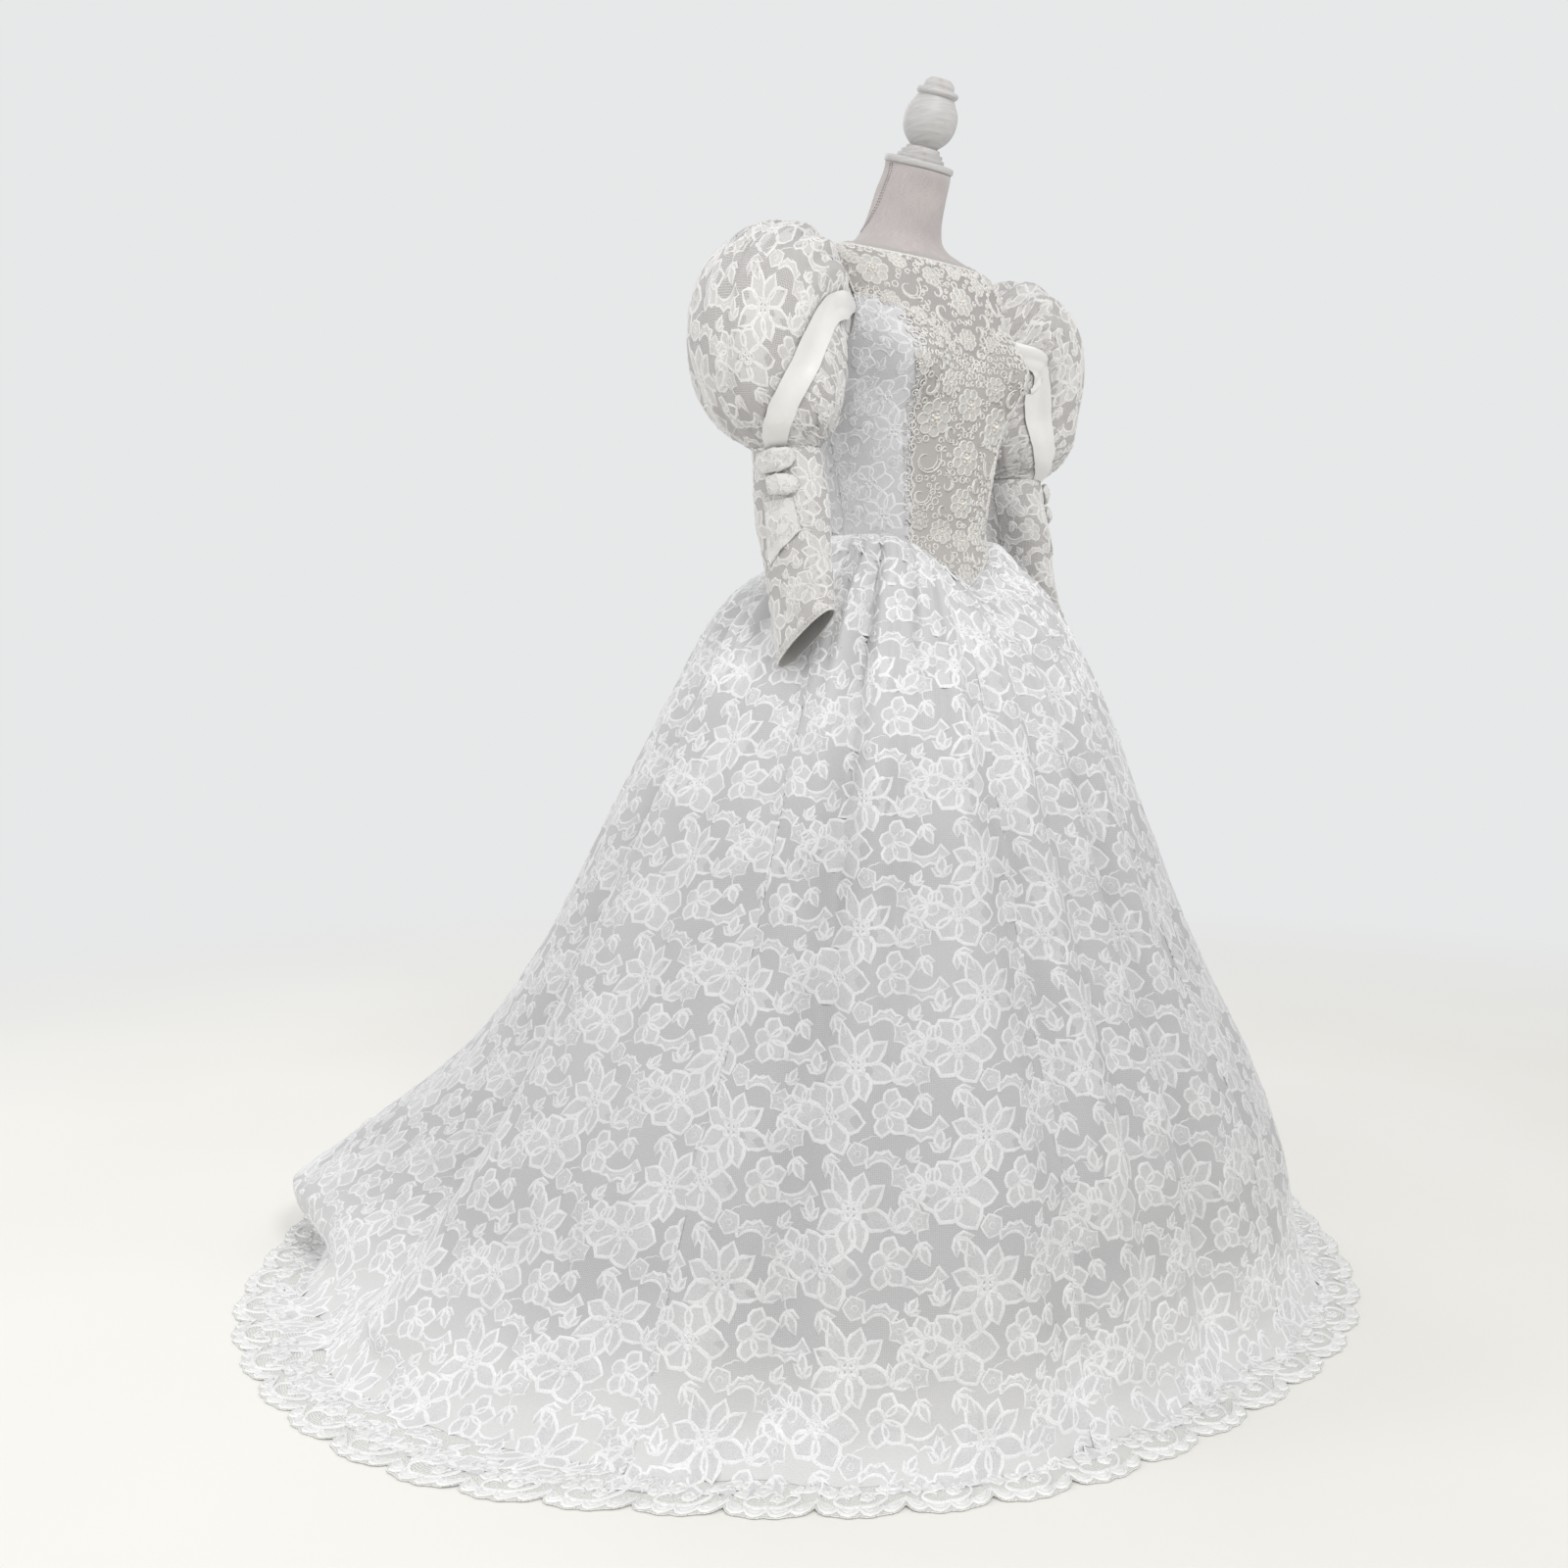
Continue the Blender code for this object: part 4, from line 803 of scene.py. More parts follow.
class Paint:
    """A material made of a Principled shader and a few procedural nodes."""

    def __init__(self, name, **sockets):
        self.material = bpy.data.materials.new(name)
        self.material.use_nodes = True
        self.tree = self.material.node_tree
        self.shader = self.tree.nodes["Principled BSDF"]
        for key, value in sockets.items():
            self.shader.inputs[key.replace("_", " ")].default_value = value
        self.bump_on = None

    def node(self, kind, **settings):
        made = self.tree.nodes.new(kind)
        for key, value in settings.items():
            if key in made.inputs:
                made.inputs[key].default_value = value
            else:
                setattr(made, key, value)
        return made

    def link(self, out, into):
        self.tree.links.new(out, into)

    def coordinates(self, scale, uv=False, turn=0.0):
        source = self.node("ShaderNodeTexCoord")
        mapping = self.node("ShaderNodeMapping")
        mapping.inputs["Scale"].default_value = scale
        mapping.inputs["Rotation"].default_value = (0.0, 0.0, turn)
        self.link(source.outputs["UV" if uv else "Object"], mapping.inputs["Vector"])
        return mapping.outputs["Vector"]

    def noise(self, scale, detail=3.0, uv=False, stretch=(1, 1, 1)):
        texture = self.node("ShaderNodeTexNoise", Scale=scale, Detail=detail)
        self.link(self.coordinates(stretch, uv), texture.inputs["Vector"])
        return texture.outputs["Fac"]

    def spread(self, value, low, high, first, last):
        """A value between low and high, brought to between first and last."""
        shape = self.node("ShaderNodeMapRange")
        for key, end in (("From Min", low), ("From Max", high), ("To Min", first), ("To Max", last)):
            shape.inputs[key].default_value = end
        self.link(value, shape.inputs["Value"])
        return shape.outputs["Result"]

    def height(self):
        split = self.node("ShaderNodeSeparateXYZ")
        self.link(self.coordinates((1, 1, 1)), split.inputs[0])
        return split.outputs["Z"]

    def painted_height_shade(self, output, stops):
        """Painted shade: multiplies a colour by a share set by the height over the floor, darker where less
        light falls.
        """
        shades = [(height, (share, share, share)) for height, share in stops]
        return self.mix(1.0, output, self.ramp(self.height(), shades), "MULTIPLY")

    def net(self, cell):
        """Fine net: 1 on the threads and 0 in the holes."""
        texture = self.node("ShaderNodeTexVoronoi", Scale=1.0 / cell, Randomness=0.35)
        texture.feature = "DISTANCE_TO_EDGE"
        self.link(self.coordinates((1, 1, 1), uv=True), texture.inputs["Vector"])
        return self.spread(texture.outputs["Distance"], 0.02, 0.16, 1.0, 0.0)

    def ramp(self, value, stops):
        ramp = self.node("ShaderNodeValToRGB")
        points = ramp.color_ramp.elements
        while len(points) < len(stops):
            points.new(0.5)
        for element, (place, colour) in zip(points, stops):
            element.position = place
            element.color = (*colour, 1.0)
        self.link(value, ramp.inputs["Fac"])
        return ramp.outputs["Color"]

    def mix(self, factor, a, b, kind="MIX"):
        mix = self.node("ShaderNodeMix", data_type="RGBA", blend_type=kind)
        for value, k in ((factor, 0), (a, 6), (b, 7)):
            if hasattr(value, "links"):
                self.link(value, mix.inputs[k])
            elif k == 0:
                mix.inputs[k].default_value = value
            else:
                mix.inputs[k].default_value = (*value, 1.0)
        return mix.outputs[2]

    def colour(self, output):
        self.link(output, self.shader.inputs["Base Color"])

    def vary(self, socket, value, low, high):
        """Sets a socket of the shader between two values."""
        self.link(self.spread(value, 0.0, 1.0, low, high), self.shader.inputs[socket])

    def bump(self, height, strength, distance):
        bump = self.node("ShaderNodeBump", Strength=strength, Distance=distance)
        self.link(height, bump.inputs["Height"])
        if self.bump_on is not None:
            self.link(self.bump_on, bump.inputs["Normal"])
        self.bump_on = bump.outputs["Normal"]
        self.link(self.bump_on, self.shader.inputs["Normal"])


# Painted light near the floor: the net is painted palest up to the first height, and has its own tone from
# the second one up
PAINTED_LIGHT_HEIGHTS = (0.015, 0.130)


def netted(
    name, dark, light, thread, roughness, cell=0.0024, see_through=0.0, sheen=0.2, painted_light=None, depth=None
):
    """Net laid over a lining: patches of two soft tones under fine threads, painted light near the floor,
    painted shade by height.
    """
    paint = Paint(name, Roughness=roughness, Sheen_Weight=sheen)
    tone = paint.ramp(paint.noise(7.0, 2.0), [(0.30, dark), (0.70, light)])
    net = paint.net(cell)
    fine = paint.noise(420.0, 2.0, uv=True)
    # Painted light: near the floor the tone runs to a paler colour, standing in for the light on the train
    if painted_light is not None:
        tone = paint.mix(paint.spread(paint.height(), *PAINTED_LIGHT_HEIGHTS, 1.0, 0.0), tone, painted_light)
    ground = paint.mix(net, tone, thread)
    ground = paint.mix(0.12, ground, paint.ramp(fine, [(0.35, dark), (0.65, thread)]))
    # Painted shade: where depth is given, the colour is darkened by the height over the floor
    paint.colour(paint.painted_height_shade(ground, depth) if depth else ground)
    paint.bump(net, 0.35, 0.0006)
    paint.bump(fine, 0.15, 0.0004)
    paint.vary("Roughness", net, roughness - 0.12, roughness + 0.10)
    if see_through:
        paint.vary("Alpha", net, 1.0 - see_through, 1.0)
    return paint.material


def threaded(name, dark, light, roughness, scale=900.0, sheen=0.3, bump=0.35, depth=None):
    """Embroidery thread: fine stitches with a little shade between them, and painted shade by height where
    depth is given.
    """
    paint = Paint(name, Roughness=roughness, Sheen_Weight=sheen)
    stitches = paint.noise(scale, 2.0)
    patches = paint.ramp(paint.noise(24.0, 2.0), [(0.30, (0.90, 0.90, 0.90)), (0.70, (1.0, 1.0, 1.0))])
    tone = paint.mix(1.0, paint.ramp(stitches, [(0.30, dark), (0.62, light)]), patches, "MULTIPLY")
    # Painted shade: where depth is given, the colour is darkened by the height over the floor
    paint.colour(paint.painted_height_shade(tone, depth) if depth else tone)
    paint.bump(stitches, bump, 0.0005)
    paint.vary("Roughness", stitches, roughness - 0.10, roughness + 0.12)
    return paint.material


def satin_paint(dark, light, roughness=0.34):
    """Satin: fine threads along the cloth and a soft gloss."""
    paint = Paint("satin", Roughness=roughness, Sheen_Weight=0.25, Anisotropic=0.4)
    threads = paint.noise(1.0, 3.0, uv=True, stretch=(2600, 90, 1))
    clouds = paint.noise(14.0, 2.0)
    tones = [(0.3, dark), (0.7, light)]
    paint.colour(paint.mix(0.35, paint.ramp(clouds, tones), paint.ramp(threads, tones)))
    paint.bump(threads, 0.12, 0.0003)
    paint.vary("Roughness", clouds, roughness - 0.06, roughness + 0.10)
    return paint.material


def linen_paint():
    """Linen cover of the form: uneven threads in both directions."""
    paint = Paint("linen", Roughness=0.92, Sheen_Weight=0.15)
    upright = paint.noise(1.0, 3.0, uv=True, stretch=(1500, 60, 1))
    level = paint.noise(1.0, 3.0, uv=True, stretch=(70, 1300, 1))
    clouds = paint.noise(16.0, 2.0)
    weave = paint.mix(0.5, paint.ramp(upright, [(0.25, (0.34, 0.305, 0.30)), (0.75, (0.70, 0.655, 0.645))]),
                      paint.ramp(level, [(0.25, (0.46, 0.42, 0.41)), (0.75, (0.68, 0.64, 0.63))]))
    tone = paint.ramp(clouds, [(0.3, (0.80, 0.79, 0.80)), (0.7, (0.93, 0.92, 0.91))])
    paint.colour(paint.mix(1.0, weave, tone, "MULTIPLY"))
    paint.bump(upright, 0.5, 0.0006)
    paint.bump(level, 0.4, 0.0005)
    paint.vary("Roughness", upright, 0.85, 0.97)
    return paint.material


def wood_paint():
    """White painted wood: brush marks, a few dents, and cream showing in small patches."""
    paint = Paint("painted_wood", Roughness=0.45)
    brush = paint.noise(1.0, 3.0, stretch=(40, 40, 420))
    dents = paint.noise(48.0, 2.0)
    tone = paint.ramp(brush, [(0.3, (0.46, 0.447, 0.44)), (0.7, (0.55, 0.54, 0.533))])
    worn = paint.ramp(dents, [(0.30, (0.90, 0.88, 0.85)), (0.42, (1.0, 1.0, 1.0))])
    paint.colour(paint.mix(1.0, tone, worn, "MULTIPLY"))
    paint.bump(brush, 0.25, 0.0008)
    paint.bump(dents, 0.12, 0.0010)
    paint.vary("Roughness", brush, 0.38, 0.60)
    return paint.material


def pearl_paint():
    paint = Paint("pearl", Roughness=0.22, Coat_Weight=0.6, Coat_Roughness=0.15)
    paint.colour(paint.ramp(paint.noise(300.0, 2.0), [(0.3, (0.76, 0.70, 0.62)), (0.7, (0.90, 0.87, 0.82))]))
    paint.bump(paint.noise(500.0, 2.0), 0.1, 0.0002)
    return paint.material


def floor_paint():
    """Pale floor that runs out into the light of the background far from the dress."""
    paint = Paint("floor", Roughness=0.7)
    clouds = paint.noise(1.2, 2.0)
    paint.colour(paint.ramp(clouds, [(0.3, (0.79, 0.777, 0.735)), (0.7, (0.82, 0.807, 0.768))]))
    paint.vary("Roughness", clouds, 0.6, 0.8)
    far = paint.node("ShaderNodeEmission", Strength=1.0)
    far.inputs["Color"].default_value = (*SKY, 1.0)
    distance = paint.node("ShaderNodeVectorMath", operation="LENGTH")
    paint.link(paint.coordinates((1, 1, 1)), distance.inputs[0])
    both = paint.node("ShaderNodeMixShader")
    paint.link(paint.spread(distance.outputs["Value"], FLOOR_NEAR, FLOOR_FAR, 0.0, 1.0), both.inputs["Fac"])
    paint.link(paint.shader.outputs["BSDF"], both.inputs[1])
    paint.link(far.outputs["Emission"], both.inputs[2])
    paint.link(both.outputs["Shader"], paint.tree.nodes["Material Output"].inputs["Surface"])
    return paint.material


# Painted shade on the skirt: the share of its colour kept at each height over the floor, least in the middle
# heights
SKIRT_PAINTED_SHADE = [(0.0, 1.0), (0.07, 0.97), (0.19, 0.80), (0.62, 0.80), (0.84, 0.94), (0.97, 1.0)]

PAINTS = {
    # The skirt's net and threads carry painted light near the floor and painted shade by height
    "skirt": netted("skirt_net", (0.455, 0.449, 0.457), (0.545, 0.540, 0.548), (0.66, 0.66, 0.665), 0.66,
                    painted_light=(0.70, 0.695, 0.68), depth=SKIRT_PAINTED_SHADE),
    "bodice": netted(
        "bodice_net", (0.46, 0.456, 0.470), (0.53, 0.525, 0.540), (0.64, 0.635, 0.65), 0.45, 0.0020
    ),
    "border": netted(
        "border_net", (0.74, 0.735, 0.71), (0.82, 0.815, 0.79), (0.90, 0.90, 0.88), 0.70, 0.0026, 0.45
    ),
    "yoke": netted(
        "yoke_net", (0.31, 0.285, 0.275), (0.40, 0.375, 0.365), (0.54, 0.52, 0.505), 0.72, 0.0020, 0.15
    ),
    "sleeve": netted(
        "sleeve_net", (0.450, 0.428, 0.415), (0.530, 0.510, 0.498), (0.66, 0.645, 0.635), 0.72, 0.0022, 0.35
    ),
    "bow": netted("bow_net", (0.58, 0.565, 0.54), (0.66, 0.645, 0.62), (0.78, 0.77, 0.75), 0.60, 0.0022),
    "beaded": netted(
        "beaded_net", (0.33, 0.31, 0.295), (0.41, 0.39, 0.37), (0.52, 0.50, 0.475), 0.60, 0.0018
    ),
    "white": threaded("white_thread", (0.72, 0.72, 0.725), (0.94, 0.94, 0.945), 0.62, depth=SKIRT_PAINTED_SHADE),
    "soft": threaded("soft_thread", (0.55, 0.548, 0.555), (0.72, 0.718, 0.722), 0.70, depth=SKIRT_PAINTED_SHADE),
    "ivory": threaded("ivory_thread", (0.64, 0.63, 0.615), (0.84, 0.83, 0.815), 0.60),
    "ivory_soft": threaded("ivory_fill", (0.50, 0.485, 0.472), (0.64, 0.625, 0.61), 0.68),
    "bodice_white": threaded("bodice_thread", (0.64, 0.64, 0.65), (0.84, 0.84, 0.85), 0.60),
    "bodice_soft": threaded("bodice_fill", (0.52, 0.517, 0.53), (0.64, 0.637, 0.65), 0.64),
    "corded": threaded("corded_thread", (0.56, 0.54, 0.51), (0.91, 0.895, 0.865), 0.48, 700.0, 0.2, 0.5),
    "corded_soft": threaded("corded_fill", (0.42, 0.402, 0.385), (0.60, 0.585, 0.56), 0.60),
    "edge_white": threaded("edge_thread", (0.84, 0.84, 0.835), (0.96, 0.96, 0.955), 0.55),
    "edge_soft": threaded("edge_fill", (0.66, 0.66, 0.645), (0.82, 0.82, 0.80), 0.68),
    "satin": satin_paint((0.66, 0.645, 0.625), (0.78, 0.77, 0.75)),
    "linen": linen_paint(),
    "thread": threaded("seam_thread", (0.16, 0.145, 0.145), (0.26, 0.24, 0.24), 0.80),
    "wood": wood_paint(),
    "pearl": pearl_paint(),
    "floor": floor_paint(),
}


def thread_set(cord, fill):
    """The materials of a piece of lace: its cords, its fills and its beads."""
    return [PAINTS[cord], PAINTS[fill], PAINTS["pearl"]]


SKIRT_LACE = thread_set("white", "soft")
IVORY_LACE = thread_set("ivory", "ivory_soft")
BODICE_LACE = thread_set("bodice_white", "bodice_soft")
GUIPURE = thread_set("corded", "corded_soft")
BORDER_LACE = thread_set("edge_white", "edge_soft")


def declare(node):
    """The cloth piece stands for its CAD node, which is hidden."""
    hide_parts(node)


# Dress form


def form_point(angle, z, out=0.0):
    """Points of the dress form's surface, moved out level by a distance."""
    angle, z = np.broadcast_arrays(np.asarray(angle, float), np.asarray(z, float))
    heights = column_of(FORM_SECTIONS, 0)
    width, front, back, shift = [smooth_lookup(z, heights, column_of(FORM_SECTIONS, i)) for i in range(1, 5)]
    depth = np.where(cosine(angle) > 0, front, back)
    x = width * sine(angle)
    y = shift - depth * cosine(angle)
    rise = z - BUST["z"]
    spread = np.where(rise > 0, BUST["above"], BUST["below"])
    for side in (-1, 1):
        swell = bell(turn_between(angle, side * BUST["angle"]), BUST["half_angle"])
        swell = swell * np.exp(-((rise / spread) ** 2))
        y = y - BUST["depth"] * swell
        x = x + 0.12 * side * BUST["depth"] * swell
    across, along = sine(angle) / width, -cosine(angle) / depth
    length = np.hypot(across, along)
    x = x + out * across / length
    y = y + out * along / length
    lean = NECK_LEAN * np.clip((z - NECK_BASE_Z) / (NECK_TOP_Z - NECK_BASE_Z), 0.0, 1.0)
    return np.stack([x, y, z + (y - shift) * np.tan(lean)], axis=-1)


def closed_tube(name, rings, materials, uv=None):
    """A closed solid: a tube of rings with a flat cap at each end."""
    rows, columns, _ = rings.shape
    points = np.concatenate([rings.reshape(-1, 3), [rings[0].mean(axis=0)], [rings[-1].mean(axis=0)]])
    quads = grid_quads(rows, columns, True)
    i = np.arange(columns)
    k = (i + 1) % columns
    top = (rows - 1) * columns
    low_fan = np.stack([k, i, np.full(columns, rows * columns)], axis=1)
    high_fan = np.stack([top + i, top + k, np.full(columns, rows * columns + 1)], axis=1)
    halves = np.concatenate([quads[:, [0, 1, 2]], quads[:, [0, 2, 3]]])
    faces = np.concatenate([halves, low_fan, high_fan])
    if uv is not None:
        uv = np.concatenate([uv, uv[:1], uv[-1:]])
    made = new_object(name, points, faces, materials, uv=uv)
    made.data.set_sharp_from_angle(angle=math.radians(50))
    return made


# The form's grid, and the seam down the side of the neck, by angle and height, on a patch of the neck
FORM_COLUMNS = 72
NECK_SEAM = [
    (-101, 1.573), (-97, 1.558), (-95, 1.544), (-96, 1.526), (-101, 1.508), (-108, 1.495), (-116, 1.487),
]
PATCH_ANGLES = (-136.0, -92.0)
PATCH_HEIGHTS = (1.574, 1.484)
PATCH_COLUMNS = 24
PATCH_ROWS = 46
SEAM_POINTS = 60
STITCHES_OFF = 0.0027
NECK_AXIS = np.array([0.0, -math.sin(NECK_LEAN), math.cos(NECK_LEAN)])


def make_neck_seam():
    """A raised seam down the side of the neck, with a row of stitches on each side."""
    angles = np.linspace(*PATCH_ANGLES, PATCH_COLUMNS)[None, :]
    levels = np.linspace(*PATCH_HEIGHTS, PATCH_ROWS)[:, None]
    neck = Cloth(form_point(angles, levels, 0.0001), (-0.5, 0.3, 1.53))
    line = refine(np.array(NECK_SEAM)[:, None, :], SEAM_POINTS, False)[:, 0]
    across = (line[:, 0] - PATCH_ANGLES[0]) / (PATCH_ANGLES[1] - PATCH_ANGLES[0]) * (PATCH_COLUMNS - 1)
    down = (PATCH_HEIGHTS[0] - line[:, 1]) / (PATCH_HEIGHTS[0] - PATCH_HEIGHTS[1]) * (PATCH_ROWS - 1)
    line = np.stack(neck.at(down, across), axis=1)
    side = unit(np.gradient(line, axis=0))[:, ::-1] * [1.0, -1.0]
    seam = Lace()
    seam.cord(line, 0.0024, 0.0008)
    for off in (-STITCHES_OFF, STITCHES_OFF):
        for x, y in (line + side * off)[1:-1:2]:
            seam.bead(x, y, 0.0011, 0.4, 6)
    paints = [PAINTS["linen"], PAINTS["linen"], PAINTS["thread"]]
    lace_object("neck_stitches", lay_lace(neck, seam.merged()), paints)


def make_form():
    heights = np.concatenate([np.linspace(0.800, 1.400, 31), np.linspace(1.406, 1.575, 32)])
    angles = np.arange(FORM_COLUMNS) * 360.0 / FORM_COLUMNS
    rings = form_point(angles[None, :], heights[:, None])
    around = np.repeat((angles * 0.0022)[None, :], len(heights), axis=0)
    uv = np.stack([around, np.repeat(heights[:, None], FORM_COLUMNS, axis=1)], axis=2).reshape(-1, 2)
    form = closed_tube("linen_form", rings, [PAINTS["linen"]], uv)
    make_neck_seam()
    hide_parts("form_torso")


def turned(name, profile, place, wobble, sides=44):
    """A turned piece of wood on the neck's axis, slightly uneven."""
    across = np.array([1.0, 0.0, 0.0])
    forward = np.cross(NECK_AXIS, across)
    turn = np.arange(sides) * 2 * np.pi / sides
    rings = []
    for distance, radius in profile:
        size = radius + wobble * np.sin(3 * turn + 40 * distance)
        size = size + 0.5 * wobble * np.sin(7 * turn + 90 * distance)
        x, y = polar(0, 0, size, turn).T[:, :, None]
        rings.append(place + NECK_AXIS * distance + x * across + y * forward)
    return closed_tube(name, np.array(rings), [PAINTS["wood"]])


def smooth_profile(profile, steps):
    """More rows between those of a turned profile, rounder where it bulges."""
    return [tuple(row) for row in refine(np.array(profile), (len(profile) - 1) * steps + 1, False)]


def make_wood():
    top = FORM_SECTIONS[-1]
    low = np.array([0.0, top[4], top[0]]) + NECK_AXIS * SEAM
    cap = turned("cap_of_neck", CAP, low, 0.0003)
    profile = smooth_profile(FINIAL[:6], 3)[:-1] + smooth_profile(FINIAL[5:], 4)
    knob = turned("knob", profile, low + NECK_AXIS * (CAP_THICKNESS + SEAM), 0.00015)
    for piece, node in ((cap, "neck_cap"), (knob, "finial")):
        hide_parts(node)
    for node in ("stand_base", "stand_pole"):
        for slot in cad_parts[node].material_slots:
            slot.material = PAINTS["wood"]


# Bodice and yoke


# The bodice's and yoke's panels: name, side, columns, rows, a point outside
PANELS = [
    ("front", 0, 90, 44, (0.0, -0.5, 1.2)),
    ("back_left", 1, 42, 40, (0.5, 0.6, 1.2)),
    ("back_right", -1, 42, 40, (-0.5, 0.6, 1.2)),
]
YOKE_ROWS = 22
YOKE_GAP = 0.0004


def armhole_at(z):
    """The angle from the centre front at which a front panel ends, at a height."""
    return np.interp(z, column_of(ARMHOLE, 0), column_of(ARMHOLE, 1))


def waist_z(angle):
    """The waist seam, which dips to a point at the centre front and runs in level at the sides."""
    off = np.abs(turn_between(angle, 0))
    slope = POINT_DROP / POINT_HALF_ANGLE
    straight = WAIST_Z - slope * (POINT_HALF_ANGLE - off)
    curved = WAIST_Z - slope * (POINT_HALF_ANGLE + POINT_BEND - off) ** 2 / (4 * POINT_BEND)
    inner = np.where(off < POINT_HALF_ANGLE - POINT_BEND, straight, curved)
    return np.where(off > POINT_HALF_ANGLE + POINT_BEND, WAIST_Z, inner)


def sweetheart_z(angle):
    """The seam between the lined bodice and the sheer yoke."""
    off = np.abs(turn_between(angle, 0))
    behind = SWEETHEART_SIDE_Z + (SWEETHEART_BACK_Z - SWEETHEART_SIDE_Z) * (off - 116.5) / 63.5
    share = np.clip(off / 63.5, 0.0, 1.0)
    ahead = SWEETHEART_FRONT_Z + (SWEETHEART_SIDE_Z - SWEETHEART_FRONT_Z) * np.sin(share * np.pi / 2) ** 0.9
    return np.where(off > 90, behind, ahead)


def neckline_z(angle):
    return smooth_lookup(np.abs(turn_between(angle, 0)), column_of(NECKLINE, 0), column_of(NECKLINE, 1))


def edging_rise(angle):
    """How far the lace edging stands above the neckline."""
    return smooth_lookup(np.abs(turn_between(angle, 0)), column_of(NECKLINE, 0), column_of(NECKLINE, 2))


def bodice_surface(angle, z, out=0.0):
    return form_point(angle, z, BODICE_EASE + WALL + out)


def panel_points(levels, side, low, high, rows, columns, gap=0.0):
    """A bodice or yoke panel. Side 0 is the front panel, and 1 and -1 are the back panels."""
    at = np.interp(np.linspace(0, len(levels) - 1, rows), range(len(levels)), levels)
    share = (at - levels[0]) / (levels[-1] - levels[0])
    edge = armhole_at(at)
    across = np.linspace(0, 1, columns)[None, :]
    if side == 0:
        angle = (edge - SEAM_TURN)[:, None] * (2 * across - 1)
    else:
        first = (180 - edge + SEAM_TURN)[:, None]
        angle = side * (first + (180 - SEAM_TURN - first) * across)
    z = (low(angle) + gap) * (1 - share[:, None]) + high(angle) * share[:, None]
    return bodice_surface(angle, z)


class Torso(Cloth):
    """A grid right round the body, on which the lace of the bodice, yoke and neckline is placed."""

    def __init__(self):
        self.angles = -180 + np.arange(TORSO_COLUMNS) * 360.0 / TORSO_COLUMNS
        self.heights = np.linspace(TORSO_LOW, TORSO_HIGH, TORSO_ROWS)
        points = bodice_surface(self.angles[None, :], self.heights[:, None])
        super().__init__(points, (0.0, -3.0, 1.2), True)

    def flat(self, angle, z):
        """The u and v of places given by angle and height."""
        angle, z = np.broadcast_arrays(np.asarray(angle, float), np.asarray(z, float))
        row = np.interp(z, self.heights, np.arange(TORSO_ROWS))
        column = (angle + 180.0) / 360.0 * TORSO_COLUMNS
        return np.stack(self.at(row, column), axis=-1)

    def real(self, row, column):
        """The angle and height of places given by row and column."""
        angle = column * 360.0 / TORSO_COLUMNS - 180
        return angle, np.interp(row, np.arange(TORSO_ROWS), self.heights)


def in_armholes(angle, z, margin):
    """Whether a place lies in an armhole, or within the margin of one, in degrees."""
    off = np.abs(angle)
    edge = armhole_at(z)
    return (z > ARMPIT_Z) & (off > edge - margin) & (off < 180 - edge + margin)


def panel_of(angle):
    """0 on the front panel, 1 on the left back panel and -1 on the right one, by the side seams."""
    off = np.abs(angle)
    return np.where(off < 90, 0, np.sign(angle))


def applique_edge(z):
    """The angle at which the beaded panel ends, at a height."""
    share = (z - SWEETHEART_LOW_Z) / (APPLIQUE_TOP_Z - SWEETHEART_LOW_Z)
    return np.interp(share, [0, 0.2, 0.6, 0.85, 1.0], [36.0, 36.5, 35.0, 36.0, 38.0])


def keep_bodice(torso, side):
    def keep(row, column):
        angle, z = torso.real(row, column)
        low = z > waist_z(angle) + 0.002
        high = z < sweetheart_z(angle) - 0.001
        clear = (np.abs(angle) > applique_edge(z) - 4) | (side != 0)
        return low & high & clear & (panel_of(angle) == side) & ~in_armholes(angle, z, 1.0)

    return keep


def keep_yoke(torso, side):
    def keep(row, column):
        angle, z = torso.real(row, column)
        low = z > sweetheart_z(angle) - 0.010
        high = z < neckline_z(angle) - 0.0005
        return low & high & (panel_of(angle) == side) & ~in_armholes(angle, z, 0.5)

    return keep


def keep_applique(torso):
    def keep(row, column):
        angle, z = torso.real(row, column)
        low = z > waist_z(angle) - 0.006
        high = z < sweetheart_z(angle) + 0.004
        return low & high & (np.abs(angle) < applique_edge(z) + 6)

    return keep


def draw_rosette(lace, x, y, radius, loops=8, turn=0.0, cord=0.0024):
    """A round flower of looped cord with beads at its middle."""
    cord = min(cord, radius * 0.13)
    size = radius * 0.30
    for k in range(loops):
        place = polar(x, y, radius - size, turn + 2 * math.pi * k / loops)
        lace.fill(ring_outline(*place, size, 7), 0.0004, 0.0003)
        lace.cord(ring_outline(*place, size, 9), cord, 0.0026, closed=True)
    lace.cord(ring_outline(x, y, radius * 0.40, 15, 0.16, 5, turn), cord * 0.9, 0.0030, closed=True)
    lace.fill(ring_outline(x, y, radius * 0.38, 8), 0.0008, 0.0006)
    for k in range(5):
        lace.bead(*polar(x, y, radius * 0.22, turn + 2 * math.pi * k / 5), radius * 0.075, 0.9, 6)
    lace.bead(x, y, radius * 0.11, 0.95, 6)


def draw_scroll(lace, x, y, radius, turn, flip=1, cord=0.0026):
    """A scroll of two cords side by side that ends in a curl, with beads along it."""
    cord = min(cord, radius * 0.18)
    outer = scroll_line(0, 0, radius, 0.2, 5.6, 0.26, 20)
    inner = scroll_line(0, 0, radius * 0.68, 0.5, 3.6, 0.62, 14)
    lace.cord(moved(outer * [1, flip], x, y, turn), cord, 0.0030, taper=True)
    lace.cord(moved(inner * [1, flip], x, y, turn), cord * 0.8, 0.0022, taper=True)
    shares = np.array([0.12, 0.28, 0.44])
    beads = polar(0, 0, radius * (1 - 0.74 * shares) * 0.84, 0.2 + 5.6 * shares)
    for place in moved(beads * [1, flip], x, y, turn):
        lace.bead(*place, cord * 0.45, 0.9, 6)


